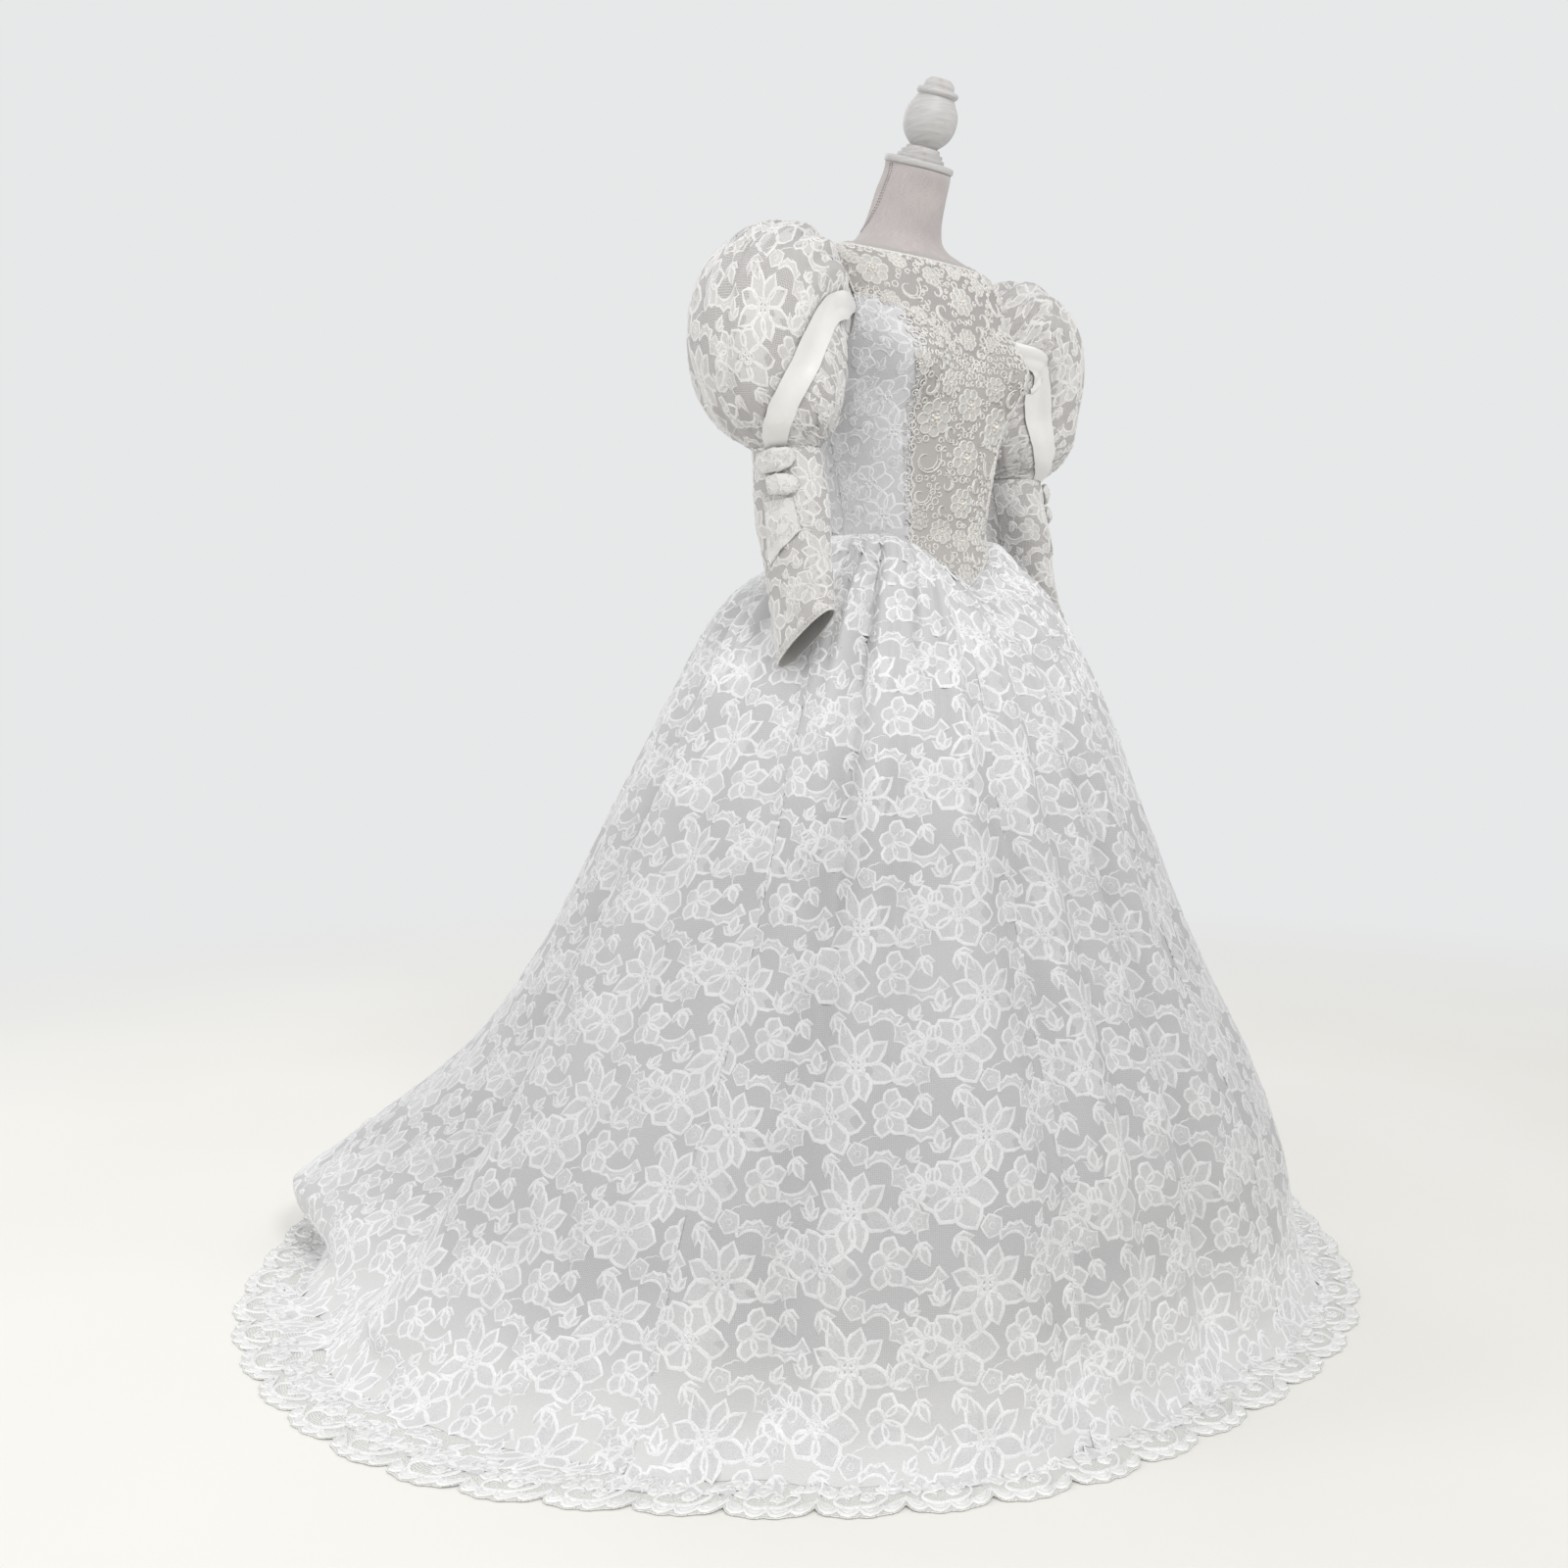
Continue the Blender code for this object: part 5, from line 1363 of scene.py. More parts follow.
def draw_loops(lace, low, high, step, taken, rng, cord=0.0020):
    """Small loops and beads in the gaps between larger motifs."""
    x0, y0 = low
    rows = int((high[1] - y0) / (step * 0.87)) + 1
    columns = int((high[0] - x0) / step) + 1
    for j in range(rows):
        for i in range(columns):
            x = x0 + (i + 0.5 * (j % 2)) * step + rng.uniform(-0.18, 0.18) * step
            y = y0 + j * step * 0.87 + rng.uniform(-0.18, 0.18) * step
            turn, size = rng.uniform(0, 6.28), rng.uniform(0.30, 0.44) * step
            if any(math.hypot(x - a, y - b) < r + 0.30 * step for a, b, r in taken):
                continue
            if (i + j) % 3:
                lace.cord(scroll_line(x, y, size, turn, 5.6, 0.55, 9), cord, 0.0018)
            else:
                lace.cord(ring_outline(x, y, size, 8), cord, 0.0018, closed=True)
            if (i + 2 * j) % 2:
                lace.bead(x, y, step * 0.10, 0.9, 5)


def mirrored(table):
    """The rows with a positive angle once more on the other side."""
    return list(table) + [(-row[0],) + tuple(row[1:]) for row in table if row[0] > 0]


def draw_guipure(torso, rosettes, scrolls, low, high, step, seed):
    """Heavy corded lace: rosettes and scrolls by angle and height, with loops between them."""
    lace = Lace()
    taken = []
    for angle, z, radius in mirrored(rosettes):
        x, y = torso.flat(angle, z)
        draw_rosette(lace, x, y, radius, 8, 0.4 if angle >= 0 else 0.1)
        taken.append((x, y, radius))
    for angle, z, radius, turn in scrolls:
        for side in (1, -1):
            x, y = torso.flat(side * angle, z)
            draw_scroll(lace, x, y, radius, turn if side > 0 else math.pi - turn, side)
            taken.append((x, y, radius * 0.75))
    draw_loops(lace, torso.flat(*low), torso.flat(*high), step, taken, np.random.default_rng(seed))
    return lace


def draw_edges(lace, torso, lines, cord, height):
    """Cords along lines given by angle and height."""
    for line in lines:
        lace.cord(torso.flat(*line.T), cord, height)


def along(function, first, last, step, lift=0.0):
    angles = np.arange(first, last + step / 2, step)
    return np.stack([angles, function(angles) + lift], axis=1)


def armhole_line(side, behind):
    """The armhole's edge from the armpit to the shoulder, in front or behind."""
    heights = np.linspace(ARMPIT_Z + 0.002, 1.438, 40)
    edge = armhole_at(heights) - 1.0
    angle = side * (180 - edge if behind else edge)
    return np.stack([angle, heights], axis=1)


def draw_back_yoke(panel, side):
    """Rosettes and loops over a back panel of the yoke, drawn in the panel's own flat shape."""
    left, right, length = panel.across[:, 0].min(), panel.across[:, -1].max(), panel.down[-1]
    lace, taken = Lace(), []
    for across, down, radius in BACK_ROSETTES:
        x = left + (right - left) * (across if side > 0 else 1 - across)
        draw_rosette(lace, x, length * down, radius, 8, 0.3)
        taken.append((x, length * down, radius))
    draw_loops(lace, (left, 0.0), (right, length), YOKE_LOOP_STEP, taken, np.random.default_rng(4))
    for v in (0.0020, length - 0.0020):
        lace.cord(np.stack([np.linspace(left, right, 60), np.full(60, v)], axis=1), 0.0030, 0.0018)
    return lace.merged()


def draw_yoke(torso):
    """The heavy lace of the yoke's front, with small rings along its lower edge."""
    yoke = draw_guipure(torso, YOKE_ROSETTES, YOKE_SCROLLS, (-92, 1.262), (92, 1.470), YOKE_LOOP_STEP, 3)
    edges = [along(sweetheart_z, -63, 63, 1.0), along(neckline_z, -179, 179, 1.0, -0.0015)]
    edges += [armhole_line(side, behind) for side in (1, -1) for behind in (False, True)]
    draw_edges(yoke, torso, edges, 0.0030, 0.0016)
    for angle in np.arange(-61.0, 62.0, 4.1):
        x, y = torso.flat(angle, float(sweetheart_z(angle)) + 0.0045)
        yoke.cord(ring_outline(x, y, 0.0048, 9), 0.0024, 0.0026, closed=True)
        yoke.bead(x, y, 0.0013, 0.9, 5)
    return yoke.merged()


def make_bodice(tile):
    torso = Torso()
    yoke = draw_yoke(torso)
    for word, side, columns, rows, outside in PANELS:
        body = Cloth(panel_points(BODICE_LEVELS, side, waist_z, sweetheart_z, rows, columns), outside)
        piece = body.make(f"cloth_bodice_{word}", "bodice")
        laid = repeat_tile(torso, tile, 0.72, (0.055, 0.075), keep_bodice(torso, side))
        flowers = lace_object(f"lace_bodice_{word}", laid, BODICE_LACE)
        declare(f"bodice_{word}")
        points = panel_points(YOKE_LEVELS, side, sweetheart_z, neckline_z, YOKE_ROWS, columns, YOKE_GAP)
        sheer = Cloth(points, outside)
        piece = sheer.make(f"cloth_yoke_{word}", "yoke", SHEER)
        if side:
            laid = lay_lace(sheer, draw_back_yoke(sheer, side))
        else:
            laid = lay_lace(torso, yoke, 0.0, keep_yoke(torso, side))
        cords = lace_object(f"lace_yoke_{word}", laid, GUIPURE)
        declare(f"yoke_{word}")
    make_applique(torso)
    make_neck_edging()
    make_placket()


def make_applique(torso):
    """The beaded lace panel at the centre front: corded flowers over a plain ground."""
    rows, columns = 60, 28
    share = np.linspace(0, 1, rows)[:, None]
    across = np.linspace(-1, 1, columns)[None, :]
    level = SWEETHEART_LOW_Z + share * (APPLIQUE_TOP_Z - SWEETHEART_LOW_Z)
    angle = across * (applique_edge(level) + 0.8 * sine(share * 360 * 9))
    z = (waist_z(angle) + 0.0015) * (1 - share) + (sweetheart_z(angle) - 0.004) * share
    ground = Cloth(bodice_surface(angle, z, 0.0019), (0.0, -2.0, 1.1))
    piece = ground.make("beaded_ground", "beaded", SHEER)
    corners = (-46, 0.976), (46, 1.345)
    lace = draw_guipure(torso, APPLIQUE_FLOWERS, APPLIQUE_SCROLLS, *corners, APPLIQUE_LOOP_STEP, 5)
    for side in (1, -1):
        heights = np.linspace(1.002, 1.292, 80)
        edge = applique_edge(heights) + 2.0 * np.abs(sine(heights * 360 * 22)) - 0.6
        draw_edges(lace, torso, [np.stack([side * edge, heights], axis=1)], 0.0026, 0.0024)
    draw_edges(lace, torso, [along(waist_z, -34, 34, 1.0, 0.001)], 0.0032, 0.0026)
    laid = lay_lace(torso, lace.merged(), 0.0021, keep_applique(torso))
    cords = lace_object("beaded_cords", laid, GUIPURE)
    declare("applique_front")


def make_neck_edging():
    """The narrow lace edge round the neckline: a ground, with scrolls and small flowers on it."""
    columns = 240
    angle = np.arange(columns)[None, :] * 360.0 / columns
    share = np.linspace(0, 1, 7)[:, None]
    rise = edging_rise(angle) * (0.66 + 0.34 * np.abs(sine(angle * 15)))
    points = form_point(angle, neckline_z(angle) + 0.0004 + rise * share, 0.0028)
    ground = Cloth(points, (0.0, -3.0, 1.9), True)
    piece = ground.make("neck_ground", "beaded", EDGING_CLOTH)
    lace = Lace()
    for k in range(60):
        around = k * 6.0 + 3.0
        high = float(edging_rise(around))
        u = float(turn_between(around, 0)) / 360.0 * (ground.across[3, -1] - ground.across[3, 0])
        if k % 3 == 0:
            draw_rosette(lace, u, high * 0.55, high * 0.75, 6, 0.2, 0.0015)
        else:
            flip = 1 if k % 3 == 1 else -1
            line = scroll_line(u, high * 0.55, high * 0.62, 1.57 - flip * 1.9, flip * 5.2, 0.35, 14)
            lace.cord(line, 0.0028, 0.0034, taper=True)
    points, faces, finish = lace.merged()
    cords = new_object("neck_cords", ground.lay(points, 0.0002)[0], faces, GUIPURE, finish)
    declare("neck_edging")


def make_placket():
    """A lapped strip down the centre back that covers the fastening, with a stitched edge each side."""
    rows, columns = 90, 13
    level = np.linspace(1.054, 1.380, rows)[:, None]
    angle = 180 + np.linspace(-6.0, 6.0, columns)[None, :]
    part = np.linspace(-1, 1, columns)[None, :]
    out = 0.0025 + 0.0004 * (1 - part**2) + 0.0002 * sine(level * 360 * 40)
    strip = Cloth(bodice_surface(angle, level, out), (0.0, 2.0, 1.2))
    piece = strip.make("placket", "satin")
    lace = Lace()
    for side in (-1, 1):
        u = side * 0.0095
        for v in np.arange(0.004, strip.down[-1] - 0.004, 0.0042):
            lace.cord([(u, v), (u, v + 0.0014), (u, v + 0.0028)], 0.0008, 0.0004, taper=True)
    stitches = lace_object("placket_stitches", lay_lace(strip, lace.merged()), GUIPURE)
    declare("back_placket")


# Skirt


def uneven_turn(angle):
    """The gathers are not evenly spaced: this angle moves a little faster or slower than the real one."""
    return angle + 1.6 * sine(3 * angle) + 0.9 * sine(7 * angle)


def gather_angle(half_gather):
    """The real angle of a ridge, when the number is even, or of a valley, when it is odd."""
    angles = np.arange(-1441, 1442) * 0.25
    return np.interp(half_gather * 180.0 / GATHERS, uneven_turn(angles), angles)


def fold_wave(turn):
    """A wave with broad ridges and narrow valleys."""
    return cosine(turn) - 0.16 * cosine(2 * turn)


def skirt_folds(angle, row):
    """Pleats at the waist that merge into flutes, with the largest folds listed one by one."""
    share = row / LAST_RING
    uneven = uneven_turn(angle)
    gather = GATHER_DEPTH * np.exp(-(((row - 2.6) / 2.0) ** 2)) * fold_wave(GATHERS * uneven)
    strength = 0.65 + 0.35 * sine(5 * angle + 110)
    flute = FLUTE_DEPTH * strength * np.sin(np.pi * np.minimum(share * 1.15, 1.0)) ** 0.7
    flute = flute * fold_wave(GATHERS / 2 * uneven + 20)
    pleat_size = 0.6 + 0.4 * sine(9 * angle + 40) * sine(4 * angle)
    near_waist = np.exp(-(((row - 1.3) / 1.3) ** 2))
    pleat = PLEAT_DEPTH * pleat_size * near_waist * fold_wave(2 * GATHERS * uneven + 60)
    folds = gather + flute + pleat
    crumple = sine(13 * angle + 50 * row) * sine(76 * row + 2 * angle)
    folds = folds + 0.0016 * crumple * np.minimum(share * 2, 1)
    top = np.minimum(row / 2.0, 1.0)
    for middle, upper, lower, half in MAIN_FOLDS:
        depth = (upper + (lower - upper) * share) * top
        folds = folds + depth * bell(turn_between(angle, middle), half)
    settle = np.interp(row, [LAST_RING - 1.5, LAST_RING - 1], [1.0, 0.45])
    return folds * settle * np.minimum(row, 1.0)


def bulge(angle, row):
    """The train's side folds, which stand out and roll under near the floor."""
    lift = bell(np.abs(turn_between(angle, 0)) - 141, 15)
    return lift * np.interp(row, [6, 7, 8, 9, 10, 11], [0.0, 0.034, 0.074, 0.085, -0.020, -0.050])


def skirt_radius(angle, row):
    """The skirt's radius at each angle and row of rings, for whole arrays of rows by angles."""
    off = np.abs(turn_between(angle, 0))
    radii = np.array([smooth_lookup(off[0], KEY_ANGLES, ring) for ring in SKIRT_RADII])
    rings = np.arange(1, LAST_RING + 1)
    return np.array([smooth_lookup(np.full(len(off[0]), r), rings, radii) for r in row[:, 0]])


def skirt_points(angle, row):
    """Points for a line of angles and a line of rows."""
    angle, row = np.broadcast_arrays(np.asarray(angle, float)[None, :], np.asarray(row, float)[:, None])
    radius = skirt_radius(angle, np.maximum(row, 1.0)) + skirt_folds(angle, row) + bulge(angle, row)
    fade = np.maximum(0.0, 1.0 - row / 4.0)
    z = smooth_lookup(row, np.arange(LAST_RING + 1), SKIRT_HEIGHTS) + (waist_z(angle) - WAIST_Z) * fade
    low = round_axis(radius, angle, z)
    high = bodice_surface(angle, waist_z(angle)) - [0.0, 0.0, 0.0008]
    share = np.minimum(row, 1.0)[..., None]
    return high * (1 - share) + low * share


def skirt_rows():
    """Ring rows at about even distances down the skirt."""
    heights = np.array(SKIRT_HEIGHTS)
    radii = np.array([0.119] + column_of(SKIRT_RADII, 3))
    steps = np.hypot(np.diff(heights), np.diff(radii))
    steps[:2] *= 1.6
    path = np.concatenate([[0.0], steps.cumsum()])
    return np.interp(np.linspace(0, path[-1], SKIRT_ROWS), path, range(LAST_RING + 1))


def make_skirt(tile, plainer):
    rows = skirt_rows()
    for k, (name, first, last) in enumerate(GORES):
        half_gathers = np.linspace(first, last, (last - first) * GORE_COLUMNS + 1)
        half_gathers = np.concatenate([[first - TUCK], half_gathers, [last + TUCK]])
        angle = gather_angle(half_gathers)
        points = skirt_points(angle, rows)
        points[:, [0, -1]] -= TUCK_DEPTH * unit(points[:, [0, -1]] * [1.0, 1.0, 0.0])
        outside = round_axis(3.0, gather_angle((first + last) / 2), 0.6)
        piece = Cloth(points, outside).make(name.replace("skirt", "gore"), "skirt")
        run_on = Cloth(np.concatenate([points, border_points(angle)]), outside)
        drawing = plainer if name in HIDDEN_GORES else tile
        laid = repeat_tile(run_on, drawing, 1.03, (0.083 * k, 0.057 * (k % 3)))
        flowers = lace_object(name.replace("skirt", "gore_lace"), laid, SKIRT_LACE)
        declare(name)


def hem_radius(angle):
    return smooth_lookup(np.abs(turn_between(angle, 0)), KEY_ANGLES, HEM_RADII)


def scallop(phase):
    """The hem lace's outline over one scallop: a broad lobe with four small ones on it."""
    broad = np.abs(np.sin(np.pi * phase)) ** 0.6
    return SCALLOP_DEPTH * (broad - 1.0) + 0.0030 * np.abs(np.sin(4 * np.pi * phase))


def scallop_angle(turn):
    """Angle of a point along the hem, counted in scallops that are all as wide along it."""
    fine = np.arange(721) * 0.5
    radii = hem_radius(fine)
    steps = np.hypot(np.diff(radii), (radii[1:] + radii[:-1]) / 2 * np.radians(0.5))
    path = np.concatenate([[0.0], steps.cumsum()])
    return np.interp((turn % SCALLOPS) / SCALLOPS * path[-1], path, fine), path[-1] / SCALLOPS


def floor_radius(angle):
    angle = np.asarray(angle, float)[None, :]
    row = np.full_like(angle, LAST_RING)
    return (skirt_radius(angle, row) + skirt_folds(angle, row) + bulge(angle, row))[0]


def border_height(angle, radius):
    """The border's upper side: flat under the skirt and at its edge, with low waves between."""
    inner, edge = floor_radius(angle), hem_radius(angle)
    share = np.clip((radius - inner) / (edge - inner), 0.0, 1.0)
    return HEM_THICKNESS - 0.0002 + 0.004 * (1 - share) * share * (1 + sine(angle * SCALLOPS * 1.5))


def border_points(angle):
    """Rows of points that lead from the skirt's lower edge over the border to its cords."""
    inner, edge = floor_radius(angle), hem_radius(angle)
    rows = []
    for share in np.linspace(0.0, 1.0, 9):
        radius = inner + 0.0012 + (edge - 0.040 - inner) * share
        rows.append(round_axis(radius, angle, border_height(angle, radius)))
    return np.array(rows)


def make_hem_lace():
    """The flat border on the floor, which reaches in a little under the skirt's lower edge."""
    for name, first, last in HEM_SEGMENTS:
        turns = np.linspace(first, last, (last - first) * HEM_COLUMNS + 1)
        angle, pitch = scallop_angle(turns)
        edge = hem_radius(angle) + scallop(turns % 1.0)
        inner = floor_radius(angle) - 0.014
        share = np.linspace(0, 1, HEM_ROWS)[:, None]
        radius = inner + (edge - inner) * share
        points = round_axis(radius, angle, border_height(angle, radius))
        border = Cloth(points, round_axis(1.0, scallop_angle((first + last) / 2)[0], 3.0))
        piece = border.make(name.replace("hem_lace", "border"), "border", EDGING_CLOTH)
        laid = lay_border(border, draw_border(first, last, pitch), pitch)
        cords = lace_object(name.replace("hem_lace", "border_cords"), laid, BORDER_LACE)
        declare(name)


# One scallop of the hem border in millimetres: along it from its middle, and in from its edge
BORDER_HOOK = [
    (-13, 33), (-18, 38), (-26, 36), (-30, 28), (-27, 20), (-14, 15), (3, 15), (17, 20), (26, 29), (26, 39),
    (17, 43), (11, 37), (15, 32),
]
BORDER_FLOWERS = [
    # along, in from the edge, radius
    (-0.42, 40, 11.0), (-0.16, 50, 10.5), (0.05, 34, 7.0), (0.40, 52, 10.0),
]


def draw_border(first, last, pitch):
    """Cords of the border, with x in metres along it from its start and y in metres in from its edge."""
    lace = Lace()
    hook = refine(np.array(BORDER_HOOK, float)[:, None, :], 26, False)[:, 0] / 1000.0
    for k in range(last - first):
        x = (k + 0.5) * pitch
        lace.cord(hook + [x, 0.0], 0.0042, 0.0032, taper=True)
        for lobe in range(4):
            middle = (k + (lobe + 0.5) / 4) * pitch
            around = np.linspace(0.0, math.pi, 7)
            for size, deep, cord in ((0.5, 0.0125, 0.0030), (0.27, 0.0068, 0.0022)):
                across = middle + pitch / 4 * size * np.cos(around)
                arch = np.stack([across, 0.0150 - deep * np.sin(around)], axis=1)
                lace.cord(arch, cord, 0.0024)
                if size == 0.5:
                    lace.fill(arch, 0.0004, 0.0005)
            lace.bead(middle, 0.0185, 0.0012, 0.8, 5)
        for off, inset, radius in BORDER_FLOWERS:
            place, inset, radius = x + off * pitch, inset / 1000.0, radius / 1000.0
            outline = ring_outline(place, inset, radius, 10, 0.20, 5, k + 7 * off)
            lace.fill(outline, 0.0006, 0.0006)
            lace.cord(outline, 0.0028, 0.0028, closed=True)
            lace.cord(ring_outline(place, inset, radius * 0.28, 6), 0.0020, 0.0030, closed=True)
        draw_leaf(lace, x + 0.022, 0.046, 0.018, 1.2 + 0.3 * math.sin(k), 0.0030)
    return lace.merged()


def lay_border(border, lace, pitch):
    """Lays the border's cords by their distance in from the scalloped edge."""
    points, faces, finish = lace
    rows, columns = border.points.shape[:2]
    column = np.clip(points[:, 0] / pitch * HEM_COLUMNS, 0, columns - 1)
    widths = np.linalg.norm(border.points[-1] - border.points[0], axis=1)
    wide = np.interp(column, np.arange(columns), widths)
    row = (1 - points[:, 1] / wide) * (rows - 1)
    inside = (row > 0) & (row <= rows - 1)
    place = sample(border.points, np.clip(row, 0, rows - 1), column)
    normal = unit(sample(border.normals, np.clip(row, 0, rows - 1), column))
    return cut_off(place + normal * points[:, 2:3], faces, finish, inside[faces].all(axis=1))


# Sleeves


def word_of(side):
    return "left" if side > 0 else "right"


def armhole_ring(side):
    """The armhole's edge on the panels, from the shoulder tip, down the front, and up the back."""
    half = -WALL / 2
    corners = []
    for levels, low, high, gap, first, last in (
        (BODICE_LEVELS, waist_z, sweetheart_z, 0.0, PIT_ROW, len(BODICE_LEVELS) - 1),
        (YOKE_LEVELS, sweetheart_z, neckline_z, YOKE_GAP, 0, TIP_ROW + 1),
    ):
        for level in levels[first:last]:
            share = (level - levels[0]) / (levels[-1] - levels[0])
            pair = []
            for turn in (armhole_edge(level), 180 - armhole_edge(level)):
                angle = side * turn
                z = (low(angle) + gap) * (1 - share) + high(angle) * share
                pair.append(bodice_surface(angle, float(z), half))
            corners.append(pair)
    front, back = column_of(corners, 0), column_of(corners, 1)
    ring = [(front[-1] + back[-1]) / 2] + front[-2:0:-1] + [(front[0] + back[0]) / 2] + back[1:-1]
    points = []
    for here, there in zip(ring, ring[1:] + ring[:1]):
        points += [here, (here + there) / 2]
    return np.array(points)


def armhole_edge(z):
    return float(armhole_at(z)) - SEAM_TURN


def puff_control(side):
    """The balloon's rings from the armhole to the elbow, without gathers."""
    edge = armhole_ring(side)
    middle = edge.mean(axis=0)
    first = edge + unit(middle - edge) * 0.0013
    first[PIT_COLUMN - 1 : PIT_COLUMN + 2, 2] += 0.0010
    rings = [first, first + np.array([side * 0.0045, 0.0, 0.0])]
    around = np.arange(PUFF_COLUMNS) * 2 * np.pi / PUFF_COLUMNS
    for k, (x, y, z, turn, deep, high) in enumerate(PUFF_RINGS):
        up = np.array([side * math.sin(math.radians(turn)), 0.0, math.cos(math.radians(turn))])
        settle = min((k + 1) / 5.0, 1.0)
        shift_x, shift_y = PUFF_SHIFT[word_of(side)]
        centre = np.array([side * (x + shift_x * settle), y + shift_y * settle, z])
        ring = up * (high * np.cos(around))[:, None] + np.array([0.0, -deep, 0.0]) * np.sin(around)[:, None]
        rings.append(centre + ring)
    return np.array(rings)


def puff_surface(side):
    """The fine balloon with its gathers, as a grid of rows by columns."""
    control = puff_control(side)
    fine = refine_tube(control, PUFF_FINE_ROWS, PUFF_FINE_COLUMNS)
    ring = np.linspace(0, len(control) - 1, PUFF_FINE_ROWS)[:, None]
    column = (np.arange(PUFF_FINE_COLUMNS) * PUFF_COLUMNS / PUFF_FINE_COLUMNS)[None, :]
    turn = column * 360.0 / PUFF_COLUMNS
    size = np.concatenate([[0.09, 0.09], column_of(PUFF_RINGS, 5)])
    high = np.interp(ring, range(len(control)), size)
    band = np.interp(ring, range(len(control)), BAND_PATH[word_of(side)])
    away = (column - band + PUFF_COLUMNS / 2) % PUFF_COLUMNS - PUFF_COLUMNS / 2
    under = bell(away * 0.8, 2.6)
    waves = smooth_lookup(ring, range(len(control)), PUFF_WAVES)
    drift = turn + 5 * sine(2 * turn + 60 * side) + 2.5 * sine(5 * turn)
    deep = waves * fold_wave(PUFF_GATHERS * turn)
    near = np.exp(-(((ring - 2.2) / 1.7) ** 2)) + 0.8 * np.exp(-(((ring - 8.2) / 0.9) ** 2))
    fine_folds = 0.034 * near * fold_wave(2.5 * PUFF_GATHERS * drift) * (0.6 + 0.4 * sine(3 * turn + 80))
    soft = 0.018 * sine(4 * turn + 55 * ring + 30 * side) * np.sin(np.pi * np.clip((ring - 2) / 7, 0, 1))
    soft = soft + 0.010 * sine(7 * turn - 90 * ring) * np.sin(np.pi * np.clip((ring - 2) / 7, 0, 1))
    fade = np.clip(ring - 0.6, 0, 1) * np.clip((9 - ring) / 0.7, 0, 1)
    wave = ((deep + soft) * (1 - under) + fine_folds * (1 - 0.8 * under)) * high * fade
    groove = np.interp(ring, range(len(control)), BAND_GROOVE) * bell(away, 1.9)
    normals = grid_normals(fine, True, fine.mean(axis=(0, 1)) + [side * 3, 0, 0])
    middle = fine.mean(axis=1, keepdims=True)
    flip = np.sign(((fine - middle) * normals).sum(axis=2)[len(fine) // 2].mean())
    return fine + normals * flip * (wave - groove)[..., None]


def outward(points):
    """A point well outside a tube's middle column, on its outer side."""
    j, i = points.shape[0] // 2, points.shape[1] // 2
    return points[j, i] + 5 * (points[j, i] - points[j].mean(axis=0))


def sleeve_surface(side):
    table = SLEEVE_RINGS[word_of(side)]
    last = len(table) - 1
    turn = np.arange(SLEEVE_COLUMNS) * 2 * np.pi / SLEEVE_COLUMNS
    rings = []
    for row, (z, x, y, thick, deep) in enumerate(table):
        flat = 1.0 - 0.2 * min(row, 1)
        across = np.copysign(np.abs(np.cos(turn)) ** flat, np.cos(turn))
        drop = CUFF_SLOPE * (row / last) ** 2
        columns = [side * (x + thick * across), y - deep * np.sin(turn), z + drop * np.sin(turn)]
        rings.append(np.stack(columns, axis=1))
    fine = refine_tube(np.array(rings), SLEEVE_FINE_ROWS, SLEEVE_FINE_COLUMNS)
    row = np.linspace(0, 1, SLEEVE_FINE_ROWS)[:, None]
    around = (np.arange(SLEEVE_FINE_COLUMNS) * 360.0 / SLEEVE_FINE_COLUMNS)[None, :]
    fade = np.sin(np.pi * np.clip(row * 1.3, 0, 1)) ** 2
    creases = 0.0016 * sine(700 * row + 2 * around + 40 * side) * fade
    creases = creases + 0.0010 * fold_wave(22 * around) * np.exp(-((row / 0.08) ** 2))
    normals = grid_normals(fine, True, outward(fine))
    return fine + normals * creases[..., None]


def make_sleeves(side, tile):
    word = word_of(side)
    puff_grid = np.roll(puff_surface(side), PUFF_FINE_COLUMNS // 2, axis=1)
    puff = Cloth(puff_grid, outward(puff_grid), True)
    piece = puff.make(f"balloon_{word}", "sleeve", SLEEVE_CLOTH)
    flowers = lace_object(f"balloon_lace_{word}", repeat_tile(puff, tile, 0.80, (0.03, 0.02)), IVORY_LACE)
    declare(f"puff_{word}")
    tube_grid = np.roll(sleeve_surface(side), SLEEVE_FINE_COLUMNS // 2, axis=1)
    tube = Cloth(tube_grid, outward(tube_grid), True)
    piece = tube.make(f"forearm_{word}", "sleeve", SLEEVE_CLOTH)
    flowers = lace_object(f"forearm_lace_{word}", repeat_tile(tube, tile, 0.72, (0.02, 0.01)), IVORY_LACE)
    edge = lace_object(f"cuff_edge_{word}", lay_lace(tube, draw_cuff(tube)), GUIPURE)
    declare(f"sleeve_{word}")
    make_band(side, puff)
    make_bow(side, tube, tile)


def draw_cuff(tube):
    """The cuff's narrow edge: two cords with a row of loops between them."""
    lace = Lace()
    bottom = tube.down[-1]
    left, right = tube.across[-1, 0] + 0.001, tube.across[-1, -1] - 0.001
    us = np.linspace(left, right, 90)
    for inset in (0.0016, 0.0090):
        lace.cord(np.stack([us, np.full(90, bottom - inset)], axis=1), 0.0026, 0.0022)
    for u in np.arange(left + 0.004, right, 0.0062):
        lace.cord(ring_outline(u, bottom - 0.0053, 0.0024, 7), 0.0014, 0.0018, closed=True)
    return lace.merged()


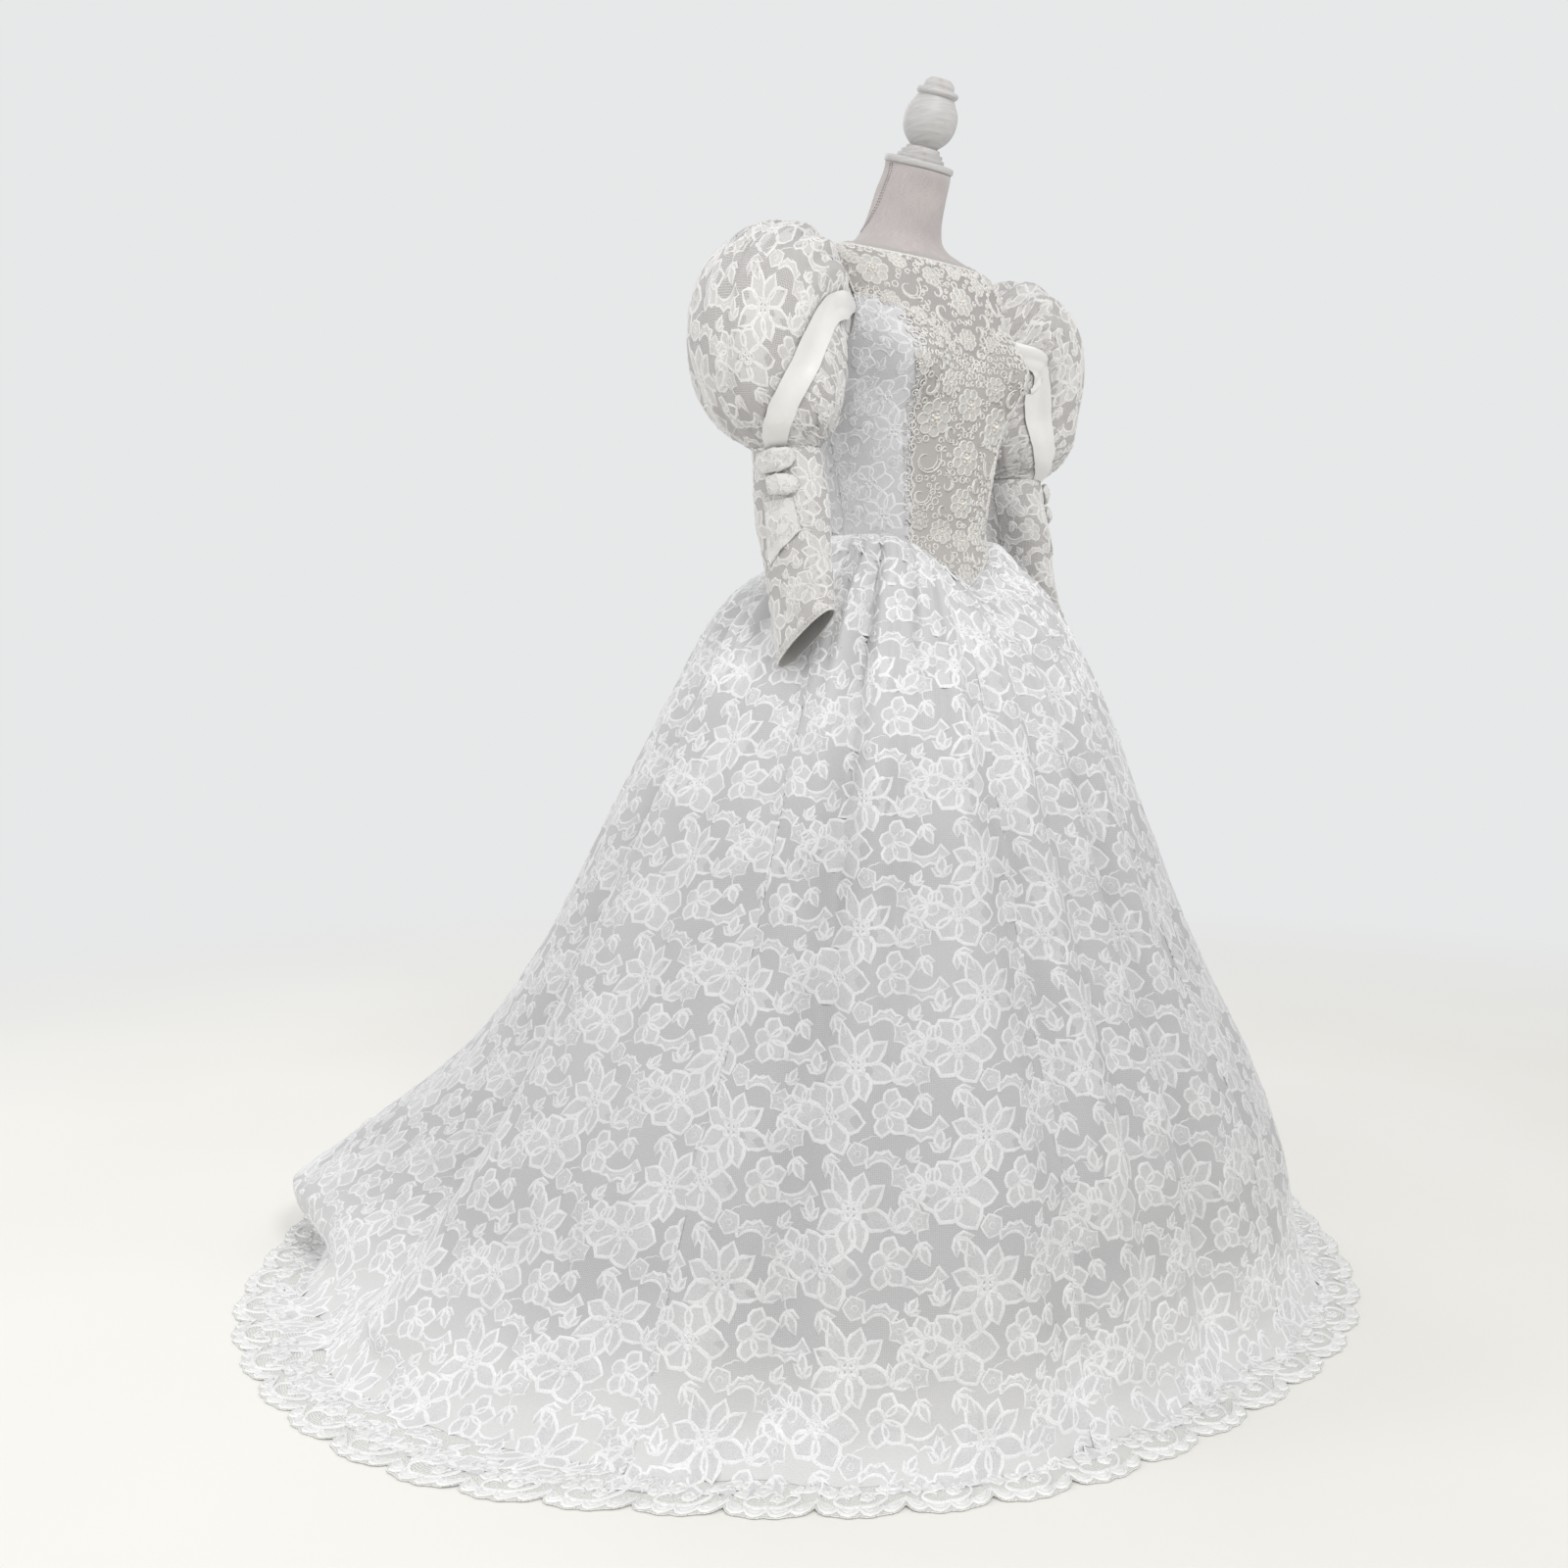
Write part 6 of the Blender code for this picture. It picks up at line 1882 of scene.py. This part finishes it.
def sleeve_place(tube, z, column):
    """A point and an outward normal on the lower sleeve, by height and the solid's column."""
    table = SLEEVE_RINGS["right"]
    ring = np.interp(-z, [-ring[0] for ring in table], range(len(table)))
    row = ring / (len(table) - 1) * (SLEEVE_FINE_ROWS - 1)
    column = column * SLEEVE_FINE_COLUMNS / SLEEVE_COLUMNS + SLEEVE_FINE_COLUMNS // 2
    return sample(tube.points, row, column, True), unit(sample(tube.normals, row, column, True))


LOOP_ROWS, LOOP_COLUMNS = 24, 28
TAIL_ROWS, TAIL_COLUMNS = 36, 24


def make_bow(side, tube, tile):
    """The lace bow at the elbow: two folded loops and a pointed tail."""
    word = word_of(side)
    for name, z, tilt, first, last, high, thick in BOW_LOOPS:
        share = np.linspace(0, 1, LOOP_ROWS)[:, None]
        turn = (np.arange(LOOP_COLUMNS) * 2 * np.pi / LOOP_COLUMNS)[None, :]
        swell = 0.25 + 0.75 * np.sin(np.pi * (0.08 + 0.84 * share)) ** 0.7
        swell = swell * np.clip(np.minimum(share, 1 - share) * 14 + 0.15, 0, 1)
        pinch = 1 - 0.10 * np.cos(turn * 3 + 7 * share) * np.exp(-((share / 0.35) ** 2))
        height = z + tilt * (share - 0.5) + high * swell * pinch * np.sin(turn)
        column = first + (last - first) * share + 0 * turn
        point, normal = sleeve_place(tube, height.ravel(), column.ravel())
        out = 0.0020 + thick * swell * pinch * (1.0 - np.cos(turn)) * 0.95
        points = (point + normal * out.reshape(-1, 1)).reshape(LOOP_ROWS, LOOP_COLUMNS, 3)
        loop = Cloth(points, outward_of(points, normal), True)
        piece = loop.make(f"bow_fold_{name[9:]}_{word}", "bow", SHEER)
        lace = repeat_tile(loop, tile, 0.50, (0.01, 0.03 * first))
        flowers = lace_object(f"bow_fold_lace_{name[9:]}_{word}", lace, IVORY_LACE)
        declare(f"{name}_{word}")
    share = np.linspace(0, 1, TAIL_ROWS)[:, None]
    across = np.linspace(0, 1, TAIL_COLUMNS)[None, :]
    low_z = BOW_TAIL["low_left_z"] * (1 - across) + BOW_TAIL["low_right_z"] * across
    z = BOW_TAIL["top_z"] * (1 - share) + low_z * share
    left = BOW_TAIL["top"][0] * (1 - share) + BOW_TAIL["low"][0] * share
    right = BOW_TAIL["top"][1] * (1 - share) + BOW_TAIL["low"][1] * share
    column = left + (right - left) * across
    point, normal = sleeve_place(tube, z.ravel(), column.ravel())
    out = 0.0026 + 0.0011 * sine(across * 760 + 120 * share) * np.minimum(share * 3, 1)
    points = (point + normal * out.reshape(-1, 1)).reshape(TAIL_ROWS, TAIL_COLUMNS, 3)
    tail = Cloth(points, outward_of(points, normal))
    piece = tail.make(f"bow_end_{word}", "bow", SHEER)
    lace = repeat_tile(tail, tile, 0.62, (0.01, 0.02))
    flowers = lace_object(f"bow_end_lace_{word}", lace, IVORY_LACE)
    declare(f"bow_tail_{word}")


def outward_of(points, normals):
    """A point well outside a small piece that lies on a sleeve."""
    return points.reshape(-1, 3)[len(normals) // 2] + normals.reshape(-1, 3)[len(normals) // 2] * 3


def make_band(side, puff):
    """A satin strip down the front of the puff."""
    word = word_of(side)
    rows, columns = 120, 14
    ring = np.linspace(1, 9, rows)[:, None]
    part = np.linspace(-1, 1, columns)[None, :]
    place = np.interp(ring, range(10), BAND_PATH[word]) + part * np.interp(ring, range(10), BAND_HALF)
    fine_row = ring / 9 * (PUFF_FINE_ROWS - 1) + part * 0
    fine_column = place * PUFF_FINE_COLUMNS / PUFF_COLUMNS + PUFF_FINE_COLUMNS // 2
    shape = fine_row.shape
    point = sample(puff.points, fine_row.ravel(), fine_column.ravel(), True).reshape(*shape, 3)
    normal = unit(sample(puff.normals, fine_row.ravel(), fine_column.ravel(), True)).reshape(*shape, 3)
    crease = 0.0010 * sine(900 * ring / 9 + 60 * part) * (1 - part**2)
    crown = 0.0015 * (1 - part**2)
    lift = np.interp(ring, range(10), BAND_LIFT)
    points = point + normal * (lift + crease + crown)[..., None]
    band = Cloth(points, points[rows // 2, columns // 2] + normal[rows // 2, columns // 2] * 2)
    piece = band.make(f"satin_strip_{word}", "satin")
    declare(f"satin_band_{word}")


# Camera, light and floor


def make_camera():
    data = bpy.data.cameras.new("camera")
    data.lens = CAMERA_LENS
    data.sensor_width = CAMERA_SENSOR
    data.shift_y = CAMERA_SHIFT
    data.clip_start, data.clip_end = 0.05, 50.0
    camera = bpy.data.objects.new("camera", data)
    camera.location = CAMERA_PLACE
    camera.rotation_euler = Vector(CAMERA_AIM).to_track_quat("-Z", "Y").to_euler()
    bpy.context.scene.collection.objects.link(camera)
    bpy.context.scene.camera = camera


def soft_light(name, place, aim, size, power, colour):
    data = bpy.data.lights.new(name, "AREA")
    data.shape = "DISK"
    data.size = size
    data.energy = power
    data.color = colour
    light = bpy.data.objects.new(name, data)
    light.location = place
    light.rotation_euler = (Vector(aim) - Vector(place)).to_track_quat("-Z", "Y").to_euler()
    bpy.context.scene.collection.objects.link(light)


def make_studio():
    bpy.context.scene.view_settings.view_transform = "Standard"
    world = bpy.data.worlds.new("studio")
    world.use_nodes = True
    back = world.node_tree.nodes["Background"]
    back.inputs["Color"].default_value = (*SKY, 1.0)
    back.inputs["Strength"].default_value = 1.0
    bpy.context.scene.world = world
    for light in LIGHTS:
        soft_light(*light)
    corners = ((-1, -1), (1, -1), (1, 1), (-1, 1))
    points = [(x * FLOOR_HALF, y * FLOOR_HALF, 0) for x, y in corners]
    mesh = bpy.data.meshes.new("floor")
    mesh.from_pydata(points, [], [(0, 1, 2, 3)])
    mesh.materials.append(PAINTS["floor"])
    floor = bpy.data.objects.new("floor", mesh)
    bpy.context.scene.collection.objects.link(floor)


def main():
    make_camera()
    make_studio()
    tile = draw_tile()
    make_form()
    make_wood()
    make_bodice(tile)
    make_skirt(tile, draw_tile(False))
    make_hem_lace()
    for side in (1, -1):
        make_sleeves(side, tile)
    bpy.context.view_layer.update()


main()
